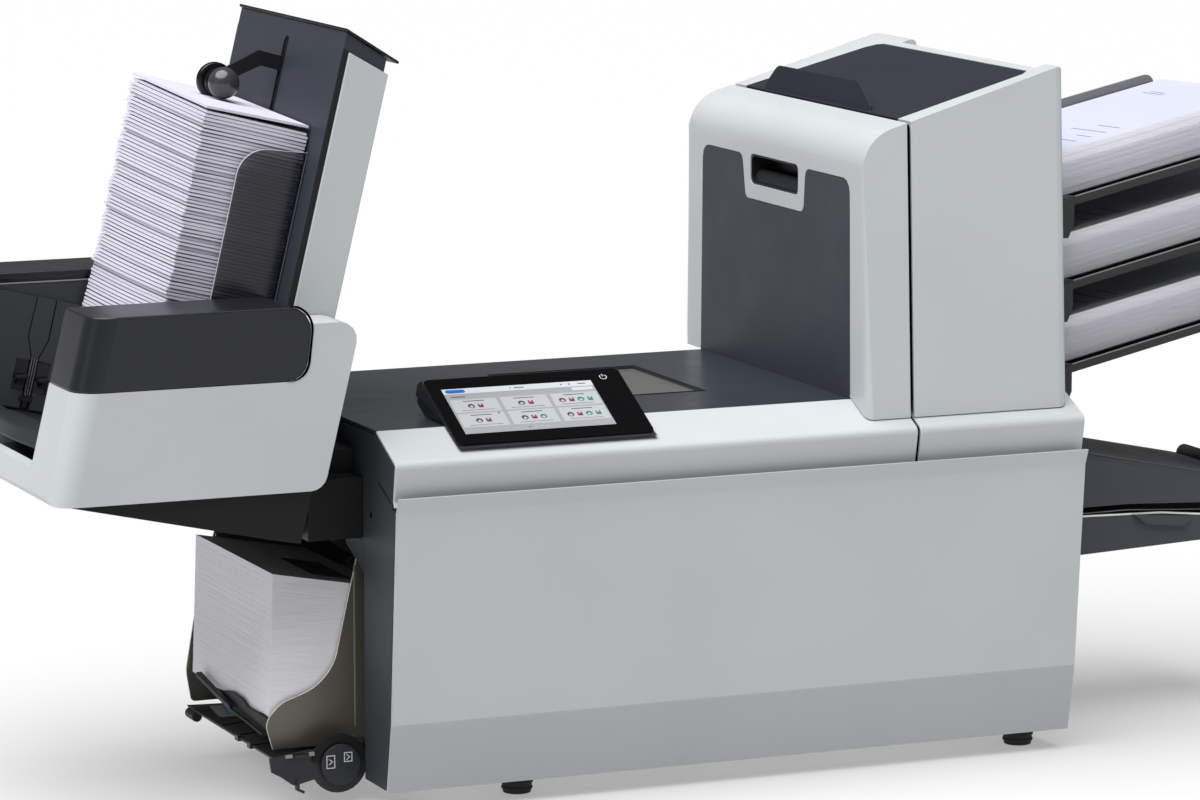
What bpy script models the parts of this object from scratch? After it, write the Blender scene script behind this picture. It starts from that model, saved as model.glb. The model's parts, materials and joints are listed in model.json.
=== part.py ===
"""Tabletop folder-inserter: cabinet, feed tower, document trays, insert feeder, hopper and stacker.

Lengths in this file are millimetres, measured from the middle of the cabinet (x, to the right),
the face of the front door (y, towards the back) and the table (z, up). world() turns them into
metres about the origin, the middle of the whole machine's footprint on the table.
"""
import math

import bmesh
import bpy
from mathutils import Matrix, Vector

MM = 0.001
ORIGIN = Vector((-7.5, 214.0, 0.0))

# Driving dimensions
GAP = 0.4
WALL = 3.0
CABINET_HALF = 345.0
CABINET_BACK = 432.0
FLOOR_Z = 21.0
DECK_Z = 347.0
DECK_FRONT = 52.0
DECK_BACK = 392.0
MIDDLE = 228.0
DOOR_FACE = ((-6.0, 293.7), (0.0, 279.0), (16.0, 82.6), (28.0, 19.7))
COVER_FACE = ((8.0, 289.0), (1.0, 323.6), (DECK_FRONT, DECK_Z))
SEAM_LEFT, SEAM_RIGHT = 170.0, 174.0
TOWER_LEFT, TOWER_RIGHT = 125.1, 335.0
TOWER_SLOPE = 0.2935
TOWER_SEAM_TOP = 604.5
TOWER_SEAM_X = 172.0
TOWER_ROUND = 40.0
TRAY_TILT = math.radians(12.5)
TRAY_BACK_FALL = 0.038
TRAY_PITCH = 80.7
TRAY_HEIGHT = 357.6
TRAY_X = 392.0
TRAY_END = 632.0
PAPER = (290.0, 210.0, 43.0)
PAPER_END = 604.0
STACKER_LEAN = math.radians(13.6)
STACKER_FRONT = 30.0
STACKER_BACK = 2 * MIDDLE - STACKER_FRONT
ARM_WIDTH = 78.0
ARM_BOTTOM, ARM_SPLIT, ARM_TOP = 300.5, 399.8, 466.0
COLUMN_U = (-512.3, -469.6)
COLUMN_BOTTOM = 437.0
COLUMN_Y = (86.0, 370.0)
UPPER_STACK_U = (-611.0, -513.0)
UPPER_STACK_W = (191.0, 506.0)
STACK_Y = (120.0, 336.0)
SHELF_W = 190.0
HOPPER_TILT = math.radians(10.6)
SCREEN_TILT = math.radians(27.3)
ROUND_STEPS = 32

GREY = ((0.46, 0.49, 0.48), 0.42, 0.0)
SLATE = ((0.055, 0.06, 0.075), 0.45, 0.0)
BLACK = ((0.010, 0.010, 0.012), 0.5, 0.0)
STEEL = ((0.55, 0.56, 0.57), 0.32, 0.9)
GUNMETAL = ((0.115, 0.11, 0.09), 0.38, 0.7)
PAPER_WHITE = ((0.80, 0.79, 0.84), 0.85, 0.0)
RUBBER = ((0.02, 0.02, 0.02), 0.8, 0.0)
SMOKED = ((0.10, 0.10, 0.12), 0.12, 0.0)
GLASS_BLACK = ((0.004, 0.004, 0.005), 0.06, 0.0)


# ---------------------------------------------------------------- tools
def world(point):
    return (Vector(point) - ORIGIN) * MM


def leaned(u, w, angle=STACKER_LEAN):
    """A point of the leaning stacker frame, u along its floor and w along its column, as (x, z)."""
    return (u * math.cos(angle) + w * math.sin(angle), w * math.cos(angle) - u * math.sin(angle))


def rounded(points, radii, steps=4):
    """The outline with the corners in radii, {index: radius}, replaced by arcs."""
    result = []
    count = len(points)
    for index, point in enumerate(points):
        corner = Vector(point)
        radius = radii.get(index)
        if not radius:
            result.append(tuple(corner))
            continue
        before = (Vector(points[index - 1]) - corner).normalized()
        after = (Vector(points[(index + 1) % count]) - corner).normalized()
        half = before.angle(after) / 2
        centre = corner + (before + after).normalized() * radius / math.sin(half)
        start = corner + before * radius / math.tan(half) - centre
        sweep = start.angle_signed(corner + after * radius / math.tan(half) - centre)
        for step in range(steps + 1):
            turn = Matrix.Rotation(-sweep * step / steps, 2)
            result.append(tuple(centre + turn @ start))
    return result


def spread(axis, a, b, along):
    """Outline coordinates a and b and the place along the axis as x, y, z."""
    return {"x": (along, a, b), "y": (a, along, b), "z": (a, b, along)}[axis]


def loft(first, last):
    """A closed mesh between two outlines of as many points."""
    bm = bmesh.new()
    ends = [[bm.verts.new(point) for point in outline] for outline in (first, last)]
    bm.faces.new(ends[0])
    bm.faces.new(list(reversed(ends[1])))
    count = len(first)
    for index in range(count):
        after = (index + 1) % count
        bm.faces.new((ends[0][after], ends[0][index], ends[1][index], ends[1][after]))
    bmesh.ops.recalc_face_normals(bm, faces=bm.faces)
    return bm


def prism(outline, axis, low, high):
    return loft(*[[spread(axis, a, b, along) for a, b in outline] for along in (low, high)])


def box(x0, x1, y0, y1, z0, z1):
    return prism(((x0, y0), (x1, y0), (x1, y1), (x0, y1)), "z", z0, z1)


def disc(axis, centre, radius, low, high, steps=ROUND_STEPS, top_radius=None):
    """A cylinder or cone along the axis, through the centre given in the other two coordinates."""
    rims = []
    for rim_radius, along in ((radius, low), (top_radius or radius, high)):
        rim = []
        for step in range(steps):
            angle = 2 * math.pi * (step + 0.5) / steps
            a = centre[0] + rim_radius * math.cos(angle)
            b = centre[1] + rim_radius * math.sin(angle)
            rim.append(spread(axis, a, b, along))
        rims.append(rim)
    return loft(*rims)


def ball(centre, radius, steps=20):
    bm = bmesh.new()
    bmesh.ops.create_uvsphere(bm, u_segments=steps, v_segments=steps // 2, radius=radius)
    bmesh.ops.translate(bm, vec=centre, verts=bm.verts)
    return bm


def bevelled(bm, chosen, width, steps=3):
    """The mesh with the edges rounded whose two ends both pass the test."""
    edges = [edge for edge in bm.edges if all(chosen(*vert.co) for vert in edge.verts)]
    bmesh.ops.bevel(bm, geom=edges, offset=width, segments=steps, affect="EDGES", profile=0.5)
    return bm


def mirrored(bm):
    """The mesh mirrored about the machine's middle plane, front to back."""
    for vert in bm.verts:
        vert.co.y = 2 * MIDDLE - vert.co.y
    bmesh.ops.reverse_faces(bm, faces=bm.faces)
    return bm


def finish_of(name, finish):
    colour, roughness, metallic = finish
    material = bpy.data.materials.new(name)
    material.use_nodes = True
    shader = material.node_tree.nodes["Principled BSDF"]
    shader.inputs["Base Color"].default_value = (*colour, 1.0)
    shader.inputs["Roughness"].default_value = roughness
    shader.inputs["Metallic"].default_value = metallic
    return material


def placed(name, bm, pivot):
    """A mesh object of the millimetre mesh, in metres, with its origin on the pivot."""
    origin = world(pivot)
    for vert in bm.verts:
        vert.co = world(vert.co) - origin
    mesh = bpy.data.meshes.new(name)
    bm.to_mesh(mesh)
    bm.free()
    obj = bpy.data.objects.new(name, mesh)
    obj.location = origin
    bpy.context.scene.collection.objects.link(obj)
    return obj


def piece(name, bm, finish, add=(), cut=(), pivot=ORIGIN):
    """A named piece: a mesh, with others joined to it and others cut from it."""
    obj = placed(name, bm, pivot)
    obj.data.materials.append(finish_of(name, finish))
    for operation, others in (("UNION", add), ("DIFFERENCE", cut)):
        for number, other in enumerate(others):
            helper = placed(f"{name}_{operation.lower()}_{number}", other, ORIGIN)
            helper.hide_render = True
            helper.display_type = "WIRE"
            modifier = obj.modifiers.new(helper.name, "BOOLEAN")
            modifier.operation = operation
            modifier.object = helper
    for polygon in obj.data.polygons:
        polygon.use_smooth = True
    obj.data.set_sharp_from_angle(angle=math.radians(35))
    return obj


# ---------------------------------------------------------------- cabinet
ROLLERS = {"fold_roller_upper": (60.0, 205.0), "fold_roller_lower": (60.0, 174.4),
           "transport_roller": (-180.0, 205.0)}
ROLLER_RADIUS = 15.0
JOURNAL_RADIUS = 5.0
HINGE_ROD = (37.0, 26.0)
HINGE_LUGS = (-280.0, 300.0)
HINGE_KNUCKLES = (-200.0, 10.0, 220.0)
FEET = ((-203.0, 69.0), (313.0, 69.0), (-203.0, 387.0), (313.0, 387.0))
CHASSIS_X = (-292.0, 338.0)
CHASSIS_Y = (44.0, 424.0)


def make_chassis():
    front, back = CHASSIS_Y
    sheet = 2.5
    top = 310.0
    outline = ((front, FLOOR_Z), (back, FLOOR_Z), (back, top), (back - sheet, top),
               (back - sheet, FLOOR_Z + sheet), (front + sheet, FLOOR_Z + sheet),
               (front + sheet, top), (front, top))
    lugs = [box(x, x + 10, HINGE_ROD[0] - 4, front + 1, FLOOR_Z + 1, FLOOR_Z + 10) for x in HINGE_LUGS]
    bores = [disc("y", centre, JOURNAL_RADIUS + 0.6, front - 9, back + 9) for centre in ROLLERS.values()]
    lug_bores = [disc("x", HINGE_ROD, 2.9, x - 5, x + 15, 16) for x in HINGE_LUGS]
    inlet = box(228, 310, back - 9, back + 9, 57, 92)
    piece("chassis", prism(outline, "x", *CHASSIS_X), STEEL, add=lugs, cut=bores + lug_bores + [inlet])


def make_feet():
    for number, (x, y) in enumerate(FEET):
        name = ("foot_front_left", "foot_front_right", "foot_rear_left", "foot_rear_right")[number]
        piece(name, disc("z", (x, y), 13.0, 0.0, FLOOR_Z - GAP, 24, 15.0), RUBBER)


def side_outline(back, top_back):
    """The side of the cabinet inside the door and the sloping cover, as (y, z)."""
    return [(34.0, FLOOR_Z), (21.5, 82.6), (5.2, 279.5), (14.0, 280.5), (13.2, 290.0),
            (6.4, 321.0), (DECK_FRONT, DECK_Z - 4.4), (back, DECK_Z - 4.4), (back, top_back)]


def make_end_covers():
    recess = [(425.0, 241.6), (86.0, 241.6), (86.0, FLOOR_Z)]
    outline = side_outline(DECK_BACK, 330.0) + [(425.0, 315.0)] + recess
    piece("left_end_cover", prism(outline, "x", -CABINET_HALF, 4 - CABINET_HALF), SLATE)

    back = CABINET_BACK
    skin = ((DECK_BACK, DECK_Z - 4.4), (back, 320.0), (back, FLOOR_Z), (back - WALL, FLOOR_Z),
            (back - WALL, 317.0), (DECK_BACK, 339.0))
    end = side_outline(DECK_BACK, DECK_Z - 4.6) + [(back - 0.5, 319.0), (back - 0.5, FLOOR_Z)]
    inlet_hole = box(231.5, 280.5, back - 12, back + 5, 60.5, 88.5)
    switch_hole = box(289.5, 305.5, back - 12, back + 5, 62.5, 86.5)
    tray_notch = box(330, 350, 100, 356, 303, 360)
    piece("rear_cover", prism(skin, "x", -CABINET_HALF, CABINET_HALF), SLATE,
          add=[prism(end, "x", CABINET_HALF - WALL, CABINET_HALF)], cut=[inlet_hole, switch_hole, tray_notch])


def cover_outline():
    low, bend, deck = COVER_FACE
    return [(5.4, 284.4), low, *rounded([low, bend, deck], {1: 7.0}, 3)[1:-1], deck,
            (DECK_FRONT, DECK_Z - WALL), (5.6, 322.0), (low[0] + WALL, 289.5), (8.0, 283.2)]


def make_front_covers():
    outline = cover_outline()
    piece("front_cover_left", prism(outline, "x", -CABINET_HALF, SEAM_LEFT + 1), GREY)
    piece("front_cover_right", prism(outline, "x", SEAM_RIGHT, CABINET_HALF), GREY)


WINDOW = (-130.0, 19.0, 150.0, 315.0)


def make_deck():
    x0, x1, y0, y1 = WINDOW
    plate = box(-CABINET_HALF, CABINET_HALF, DECK_FRONT + GAP, DECK_BACK - GAP, DECK_Z - 3.6, DECK_Z)
    window = box(x0, x1, y0, y1, DECK_Z - 20, DECK_Z + 20)
    under_trays = box(296, 360, 100, 356, DECK_Z - 20, DECK_Z + 20)
    piece("deck_cover", plate, SLATE, cut=[window, under_trays])
    tray = box(x0 - 4, x1 + 4, y0 - 4, y1 + 4, DECK_Z - 8, DECK_Z - 4)
    raised = box(x0 + GAP, x1 - GAP, y0 + GAP, y1 - GAP, DECK_Z - 6, DECK_Z - 2.4)
    piece("window_panel", tray, SMOKED, add=[raised])


def make_front_door():
    top, lip, bend, bottom = DOOR_FACE
    outline = [top, *rounded([top, lip, bend, bottom], {1: 10.0, 2: 30.0}, 3)[1:-1], bottom,
               (bottom[0] + WALL, bottom[1]), (bend[0] + WALL, bend[1] + 0.8),
               (lip[0] + WALL, lip[1] + 0.6), (top[0] + WALL, top[1])]
    y, z = HINGE_ROD
    knuckles = []
    for x in HINGE_KNUCKLES:
        knuckles.append(disc("x", HINGE_ROD, 4.6, x, x + 30, 20))
        knuckles.append(box(x, x + 30, 28.5, y - 2.4, z - 2.5, z + 2.5))
    bores = [disc("x", HINGE_ROD, 2.9, x - 5, x + 35, 20) for x in HINGE_KNUCKLES]
    piece("front_door", prism(outline, "x", -CABINET_HALF, CABINET_HALF), GREY,
          add=knuckles, cut=bores, pivot=(0, y, z))
    piece("door_hinge_rod", disc("x", HINGE_ROD, 2.5, -300, 330, 16), STEEL)


def make_drive():
    for name, (x, z) in ROLLERS.items():
        body = disc("y", (x, z), ROLLER_RADIUS, CHASSIS_Y[0] + 6, CHASSIS_Y[1] - 6, 24)
        journal = disc("y", (x, z), JOURNAL_RADIUS, CHASSIS_Y[0] - 3, CHASSIS_Y[1] + 3, 16)
        piece(name, body, RUBBER if name == "transport_roller" else STEEL, add=[journal], pivot=(x, 0, z))
    motor = disc("y", (150, 100), 32, 330, CHASSIS_Y[1] - 3, 24)
    piece("drive_motor", motor, BLACK, add=[box(112, 188, 400, CHASSIS_Y[1] - 3, 62, 138)])


def make_power_entry():
    back = CABINET_BACK
    flange = box(228, 284, back + GAP, back + 2.5, 57, 92)
    body = box(232, 280, back - 22, back + 2, 61, 88)
    sockets = [box(238, 274, back - 19, back + 5, 66, 83)]
    piece("power_inlet", flange, BLACK, add=[body], cut=sockets)
    rocker = prism(((back - 8, 64), (back + 1.5, 64), (back + 0.5, 74.5), (back + 3.0, 85), (back - 8, 85)),
                   "x", 290, 305)
    piece("power_switch", rocker, BLACK, pivot=(297.5, back - 4, 74.5))


# ---------------------------------------------------------------- feed tower
ACCESS_HINGE = (126.5, DECK_Z + 2.7)
LID_X = (175.5, 309.0)
LID_Y = (59.0, 397.0)


def tower_top(x):
    return TOWER_SEAM_TOP + (x - TOWER_SEAM_X) * TOWER_SLOPE


def tower_front(z):
    return 16.0 + (z - 330.0) * 0.0555


def tower_back(z):
    return 432.0 - (z - 345.0) * 0.039


def tower_block(outline, inset=0.0):
    """The XZ outline between the leaning front and back of the tower."""
    first = [(x, tower_front(z) + inset, z) for x, z in outline]
    last = [(x, tower_back(z) - inset, z) for x, z in outline]
    return loft(first, last)


def over_cabinet():
    """What lies below the tower: the sloping cover and the deck, with a small gap."""
    outline = ((-20, 290), (-20, 314.5), (1.0, 324.8), (DECK_FRONT - 0.5, DECK_Z + 0.7),
               (500, DECK_Z + 0.7), (500, 290))
    return prism(outline, "x", 100, 360)


def make_access_cover():
    left = TOWER_LEFT
    pivot = (ACCESS_HINGE[0], 0, ACCESS_HINGE[1])
    seam_top = TOWER_SEAM_X - 1.0
    outer = rounded([(left, 310), (left, 590.7), (seam_top, tower_top(seam_top)), (SEAM_LEFT, 310)],
                    {1: TOWER_ROUND}, 8)
    inner = rounded([(left + WALL, 300), (left + WALL, 588.4), (200, tower_top(200) - 3.1), (200, 300)],
                    {1: TOWER_ROUND - WALL}, 8)
    pocket = prism(insert_outline(0.4), "x", left - 5, left + 1.4)
    hole = prism(handle_outline(0.0), "x", left - 5, left + 20)
    piece("access_cover", tower_block(outer), GREY,
          cut=[tower_block(inner, WALL), over_cabinet(), pocket, hole], pivot=pivot)
    insert = prism(insert_outline(0.0), "x", left + 0.1, left + 1.0)
    piece("access_insert", insert, SLATE, pivot=pivot)
    cup = prism(handle_outline(0.5), "x", left + 0.8, left + 24)
    hollow = prism(handle_outline(2.0), "x", left - 5, left + 22)
    rim = prism(handle_outline(-4.0), "x", left + WALL + GAP, left + WALL + 2.0)
    piece("handle_cup", cup, BLACK, add=[rim], cut=[hollow], pivot=pivot)


def insert_outline(grow):
    """The dark panel of the access cover, notched round the handle, as (y, z)."""
    points = [(53 - grow, DECK_Z + 3.0), (57 - grow, 551 + grow), (153 + grow, 551 + grow),
              (157 + grow, 509 + grow), (288 - grow, 509 + grow), (296 - grow, 551 + grow),
              (388.5 + grow, 551 + grow), (392 + grow, DECK_Z + 3.0)]
    return rounded(points, {1: 14, 2: 9, 3: 7, 4: 7, 5: 9, 6: 14}, 3)


def handle_outline(inset):
    y0, y1, z0, z1 = 169 + inset, 277 - inset, 524 + inset, 553 - inset
    return rounded([(y0, z0), (y0, z1), (y1, z1), (y1, z0)], {index: 6 for index in range(4)}, 3)


def lid_outline(grow):
    x0, x1 = LID_X[0] - grow, LID_X[1] + grow
    y0, y1 = LID_Y[0] - grow, LID_Y[1] + grow
    return ((x0, y0), (x1 - 8, y0 - 5), (x1, y0 + 2), (x1, y1 - 34), (x1 - 4, y1 - 25), (x1 - 14, y1 - 19),
            (x0, y1))


def on_lid(outline, drop):
    """The plan outline raised on to the tower's sloping top, less a drop."""
    return [(x, y, tower_top(x) - drop) for x, y in outline]


def make_tower_cover():
    """The fixed part of the tower: a shell with a hole for the lid and three for the trays."""
    left_low, left_high = SEAM_RIGHT, TOWER_SEAM_X + 3.0
    right, roof = TOWER_RIGHT, tower_top(TOWER_RIGHT)
    outer = tower_block(((left_low, 320), (left_high, tower_top(left_high)), (right, roof), (right, 320)))
    bevelled(outer, lambda x, y, z: x > right - 1 and z > 300 and (y < 100 or y > 350), 9.0)
    inner = tower_block(((100, 310), (100, tower_top(100) - WALL), (right - WALL, roof - 4 * WALL),
                         (right - WALL, 310)), WALL)
    lid_hole = loft(*[[(x, y, z) for x, y in lid_outline(0.6)] for z in (560, 700)])
    lid_side = box(100, LID_X[0] + 5, LID_Y[0] - 0.6, LID_Y[1] + 0.4, 560, 700)
    notch = box(318, 360, 60, 342, roof - 8.5, 700)
    openings = [box(right - 20, right + 20, 98, 358, tray_z(index, right) - 33, tray_z(index, right) + 50)
                for index in range(3)]
    piece("tower_cover", outer, GREY, cut=[inner, over_cabinet(), lid_hole, lid_side, notch] + openings)


def make_tower_lid():
    hinge = (LID_X[1], 0, tower_top(LID_X[1]))
    plate = loft(on_lid(lid_outline(0.0), 3.2), on_lid(lid_outline(0.0), 0.2))
    x = LID_X[0] + 1.0
    low = tower_top(x) - 1.0
    lip = rounded([(122, low), (124, low + 7), (163, low + 26), (342, low + 25), (355, low + 10), (358, low)],
                  {1: 5, 2: 26, 3: 12}, 5)
    first = [(x, y, z) for y, z in lip]
    last = [(x + 2.0, y, z) for y, z in lip]
    tip = [(px + (pz - low) * 0.28, py, pz) for px, py, pz in first]
    tip_last = [(px + (pz - low) * 0.28, py, pz) for px, py, pz in last]
    piece("tower_lid", plate, SLATE, add=[loft(tip, tip_last)], pivot=hinge)


# ---------------------------------------------------------------- touch screen
SCREEN_X = (-280.0, -87.0)
SCREEN_EDGE = (17.0, 335.0)
SCREEN_DEPTH = 100.5


def on_screen(distance, height):
    """A point of the screen's side: distance up its face from the lower edge, height above the face."""
    y, z = SCREEN_EDGE
    cosine, sine = math.cos(SCREEN_TILT), math.sin(SCREEN_TILT)
    return (y + distance * cosine - height * sine, z + distance * sine + height * cosine)


def make_screen():
    x0, x1 = SCREEN_X
    side = [(11.5, 332.6), (16.0, 332.3), (58.0, 350.0), (118.5, 363.5), (122.5, 364.5), (118.4, 376.0),
            on_screen(SCREEN_DEPTH + 1, -1.5), on_screen(1, -1.5)]
    piece("screen_housing", prism(side, "x", x0, x1), SLATE)
    glass = rounded([(x0 + 0.3, 0), (x1 - 0.3, 0), (x1 - 0.3, SCREEN_DEPTH), (x0 + 0.3, SCREEN_DEPTH)],
                    {index: 6 for index in range(4)}, 4)
    low = [(x, *on_screen(along, -1.1)) for x, along in glass]
    high = [(x, *on_screen(along, 0.0)) for x, along in glass]
    piece("screen_glass", loft(low, high), GLASS_BLACK)
    base = [(59.0, DECK_Z + 0.6), (104.0, DECK_Z + 0.6), (124.5, 357.4), (122.9, 363.9), (59.0, 349.7)]
    piece("screen_mount", prism(base, "x", x0 + 2, x1 - 2), SLATE)


# ---------------------------------------------------------------- document trays
def tray_z(index, x, y=123.0):
    """Height of the upper face of a tray's plate, counted from the lowest tray."""
    rise = (x - TRAY_X) * math.tan(TRAY_TILT) - (y - 123.0) * TRAY_BACK_FALL
    return TRAY_HEIGHT + index * TRAY_PITCH + rise


def on_tray(index, y, points):
    """Points given as x and height above the tray's plate, placed at one y."""
    return [(x, y, tray_z(index, x, y) + rise) for x, rise in points]


def tray_slab(index, y0, y1, points):
    return loft(on_tray(index, y0, points), on_tray(index, y1, points))


TRAY_Y = (105.0, 351.0)
TRAY_START = 318.0
TRAY_EDGE = 8.5
BRACKET = ((322, -1), (384, -1), (384, -26), (378, -38), (322, -26))


def tray_channel(index, x):
    """The section of a tray across its length: a plate with its edges turned down."""
    y0, y1 = TRAY_Y
    low = -TRAY_EDGE
    inner0, inner1 = y0 + WALL, y1 - WALL
    section = ((y0, low), (y0, 0), (y1, 0), (y1, low), (inner1, low), (inner1, -WALL), (inner0, -WALL),
               (inner0, low))
    return [(x, y, tray_z(index, x, y) + rise) for y, rise in section]


def make_trays():
    y0, y1 = TRAY_Y
    p0, p1 = MIDDLE - PAPER[1] / 2, MIDDLE + PAPER[1] / 2
    start = PAPER_END - PAPER[0]
    sheet = ((start, GAP), (start, PAPER[2]), (PAPER_END, PAPER[2]), (PAPER_END, GAP))
    low_guide = ((342, GAP), (342, 32), (560, 32), (560, GAP))
    high_guide = rounded([(342, GAP), (342, 52), (597, 52), (597, GAP)], {2: 12}, 4)
    low = 1 - TRAY_EDGE
    lip = ((TRAY_END - 4, low), (TRAY_END - 4, -1), (TRAY_END - 0.5, -1), (TRAY_END - 0.5, low))
    for index in range(3):
        number = index + 1
        plate = loft(tray_channel(index, TRAY_START), tray_channel(index, TRAY_END))
        extras = [tray_slab(index, y0 + 1, y1 - 1, lip), tray_slab(index, y0 - 3, y0 + 0.2, BRACKET),
                  tray_slab(index, y1 - 0.2, y1 + 3, BRACKET)]
        piece(f"tray_{number}", plate, SLATE, add=extras)
        piece(f"paper_stack_{number}", tray_slab(index, p0, p1, sheet), PAPER_WHITE)
        piece(f"tray_guide_front_{number}", tray_slab(index, p0 - 4.5, p0 - 2.5, low_guide), SMOKED)
        piece(f"tray_guide_rear_{number}", tray_slab(index, p1 + 2.5, p1 + 4.5, high_guide), SLATE)


# ---------------------------------------------------------------- insert feeder
FEEDER_Y = (128.0, 328.0)
FEEDER_END = 640.0
FEEDER_HINGE = (348.0, 278.6)


def feeder_top(x):
    """Height of the feeder's sloping upper face."""
    return 263.6 - 0.207 * (x - 419.2)


def make_insert_feeder():
    y0, y1 = FEEDER_Y
    right = FEEDER_END
    upper = prism([(347, feeder_top(347)), (right, feeder_top(right)), (right, 203.0), (540, 207.6),
                   (462, 211.6), (415, 211.4), (347, 206.5)], "y", y0, y1)
    bevelled(upper, lambda x, y, z: z > feeder_top(x) - 0.5 and (y < y0 + 1 or y > y1 - 1), 5.0, 2)
    roller_x = 630.0
    roller_z = feeder_top(roller_x) + 1.5
    notch = box(roller_x - 10, right + 5, y0 + 5, y1 - 5, roller_z - 10, roller_z + 20)
    bore = disc("y", (roller_x, roller_z), 2.6, y0 - 5, y1 + 5, 16)
    piece("feeder_upper", upper, SLATE, cut=[notch, bore], pivot=(FEEDER_HINGE[0], 0, FEEDER_HINGE[1]))
    shaft = disc("y", (roller_x, roller_z), 2.2, y0 + 1, y1 - 1, 16)
    tube = disc("y", (roller_x, roller_z), 8.6, y0 + 7, y1 - 7, 24)
    piece("feeder_roller", tube, BLACK, add=[shaft], pivot=(roller_x, 0, roller_z))
    lower = prism([(347, 162.0), (right, 174.5), (right, 192.6), (542, 196.6), (498, 201.1), (414, 203.2),
                   (347, 198.5)], "y", y0, y1)
    tab = rounded([(465, 201), (480, 190.5), (522, 186.5), (530, 195)], {1: 14, 2: 6}, 4)
    piece("feeder_lower", lower, SLATE, add=[prism(tab, "y", y0 - 5, y0 + 2)])


# ---------------------------------------------------------------- envelope stacker
def arm_outline():
    """The light shell of a stacker arm, as (x, z): low under the cap and raised at its right end."""
    points = [(-655, ARM_BOTTOM), (-402.5, ARM_BOTTOM), (-366.2, 450.5), (-412.5, 450.5),
              (-418.5, ARM_SPLIT), (-631.0, ARM_SPLIT)]
    return rounded(points, {0: 6, 1: 16, 2: 16, 4: 20}, 4)


def make_stacker_body():
    front = STACKER_FRONT
    inner = front + ARM_WIDTH
    outer = corner_block(arm_outline(), front, STACKER_BACK, 24.0, 5)
    middle = 2 * MIDDLE - inner
    through = box(-638, -300, inner, middle, 280, 500)
    above_sill = box(-700, -300, inner, middle, 326, 500)
    hollow_outline = ((-636, 280), (-412, 280), (-384, 395), (-617, 395))
    hollows = [prism(hollow_outline, "y", front + 3.5, inner - 3.5),
               prism(hollow_outline, "y", middle + 3.5, STACKER_BACK - 3.5)]
    step = prism([(-440, COLUMN_BOTTOM - 1), (-440, 500), (-300, 500), (-300, COLUMN_BOTTOM - 1)], "y",
                 COLUMN_Y[0] - 4.5, 2 * MIDDLE - COLUMN_Y[0] + 4.5)
    piece("stacker_body", outer, GREY, cut=[through, above_sill, step] + hollows)


def corner_block(outline, front, back, radius, steps):
    """A block of the XZ outline whose left end is rounded in plan: slices along y, each set in at the left."""
    lean = math.tan(STACKER_LEAN)
    places = []
    for step in range(steps + 1):
        angle = math.pi / 2 * step / steps
        places.append((radius * (1 - math.sin(angle)), front + radius * (1 - math.cos(angle))))
    stations = places + [(inset, front + back - y) for inset, y in reversed(places)]
    bm = bmesh.new()
    rings = []
    for inset, y in stations:
        ring = []
        for x, z in outline:
            limit = -655 + inset + (z - ARM_BOTTOM) * lean
            ring.append(bm.verts.new((max(x, limit), y, z)))
        rings.append(ring)
    bm.faces.new(rings[0])
    bm.faces.new(list(reversed(rings[-1])))
    count = len(outline)
    for first, second in zip(rings, rings[1:]):
        for index in range(count):
            after = (index + 1) % count
            bm.faces.new((first[after], first[index], second[index], second[after]))
    bmesh.ops.remove_doubles(bm, verts=bm.verts, dist=0.0001)
    bmesh.ops.recalc_face_normals(bm, faces=bm.faces)
    return bm


def column_outline(grow=0.0):
    """The leaning column as (x, z), cut level just above the arms."""
    left, right = COLUMN_U[0] - grow, COLUMN_U[1] + grow
    bottom = COLUMN_BOTTOM
    lean = math.tan(STACKER_LEAN)
    top_left = leaned(left, 598.0)
    top_right = leaned(right, 583.0)
    return [(top_left[0] - (top_left[1] - bottom) * lean, bottom), top_left, top_right,
            (top_right[0] - (top_right[1] - bottom) * lean, bottom)]


def make_stacker_caps():
    low = ARM_SPLIT + GAP
    outline = rounded([(-630.9, low), (-615.0, ARM_TOP), (-411.0, ARM_TOP), (-418.9, low)], {2: 20, 3: 19.6}, 4)
    front = STACKER_FRONT
    inner = front + ARM_WIDTH
    for name in ("stacker_cap_front", "stacker_cap_rear"):
        cap = corner_block(outline, front, 2 * MIDDLE - front, 24.0, 5)
        other_arm = box(-700, -300, inner, 500, 380, 500)
        if name == "stacker_cap_rear":
            other_arm = mirrored(other_arm)
        column = prism(column_outline(5.0), "y", 80, 2 * MIDDLE - 80)
        piece(name, cap, SLATE, cut=[other_arm, column])


def make_stacker_base():
    front = STACKER_FRONT + ARM_WIDTH + 1
    back = 2 * MIDDLE - front
    shelf = [leaned(-655, 184), leaned(-655, SHELF_W), leaned(-514, SHELF_W)]
    floor = [(-637, 300.0), (-637, 306.0), (-592, 306.0), *shelf, (-396.5, ARM_BOTTOM + 10),
             (-396.5, 245), (-423, 252.5)]
    wedge = prism([(-637, 299.8), (-411, 299.8), (-423, 252.5), (-450, 258)], "y", STACKER_FRONT + 6,
                  2 * MIDDLE - STACKER_FRONT - 6)
    block = box(-398, -345.6, 86, 2 * MIDDLE - 86, 244, 299.5)
    neck = box(-398, -345.6, front, back, 244, 323)
    riser = prism([(-450, 300), leaned(COLUMN_U[0] + 1, 215), (-421, COLUMN_BOTTOM - 0.6),
                    (-376, COLUMN_BOTTOM - 0.6), (-400, 320)],
                  "y", front, back)
    plates = []
    for y in (front, back - 3):
        plates.append(prism([leaned(-655, 186), leaned(-700, 205), leaned(-700, 297), leaned(-512, 297),
                             leaned(-512, 186)], "y", y, y + 3))
    piece("stacker_base", prism(floor, "y", front, back), BLACK, add=[wedge, block, neck, riser] + plates)


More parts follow.
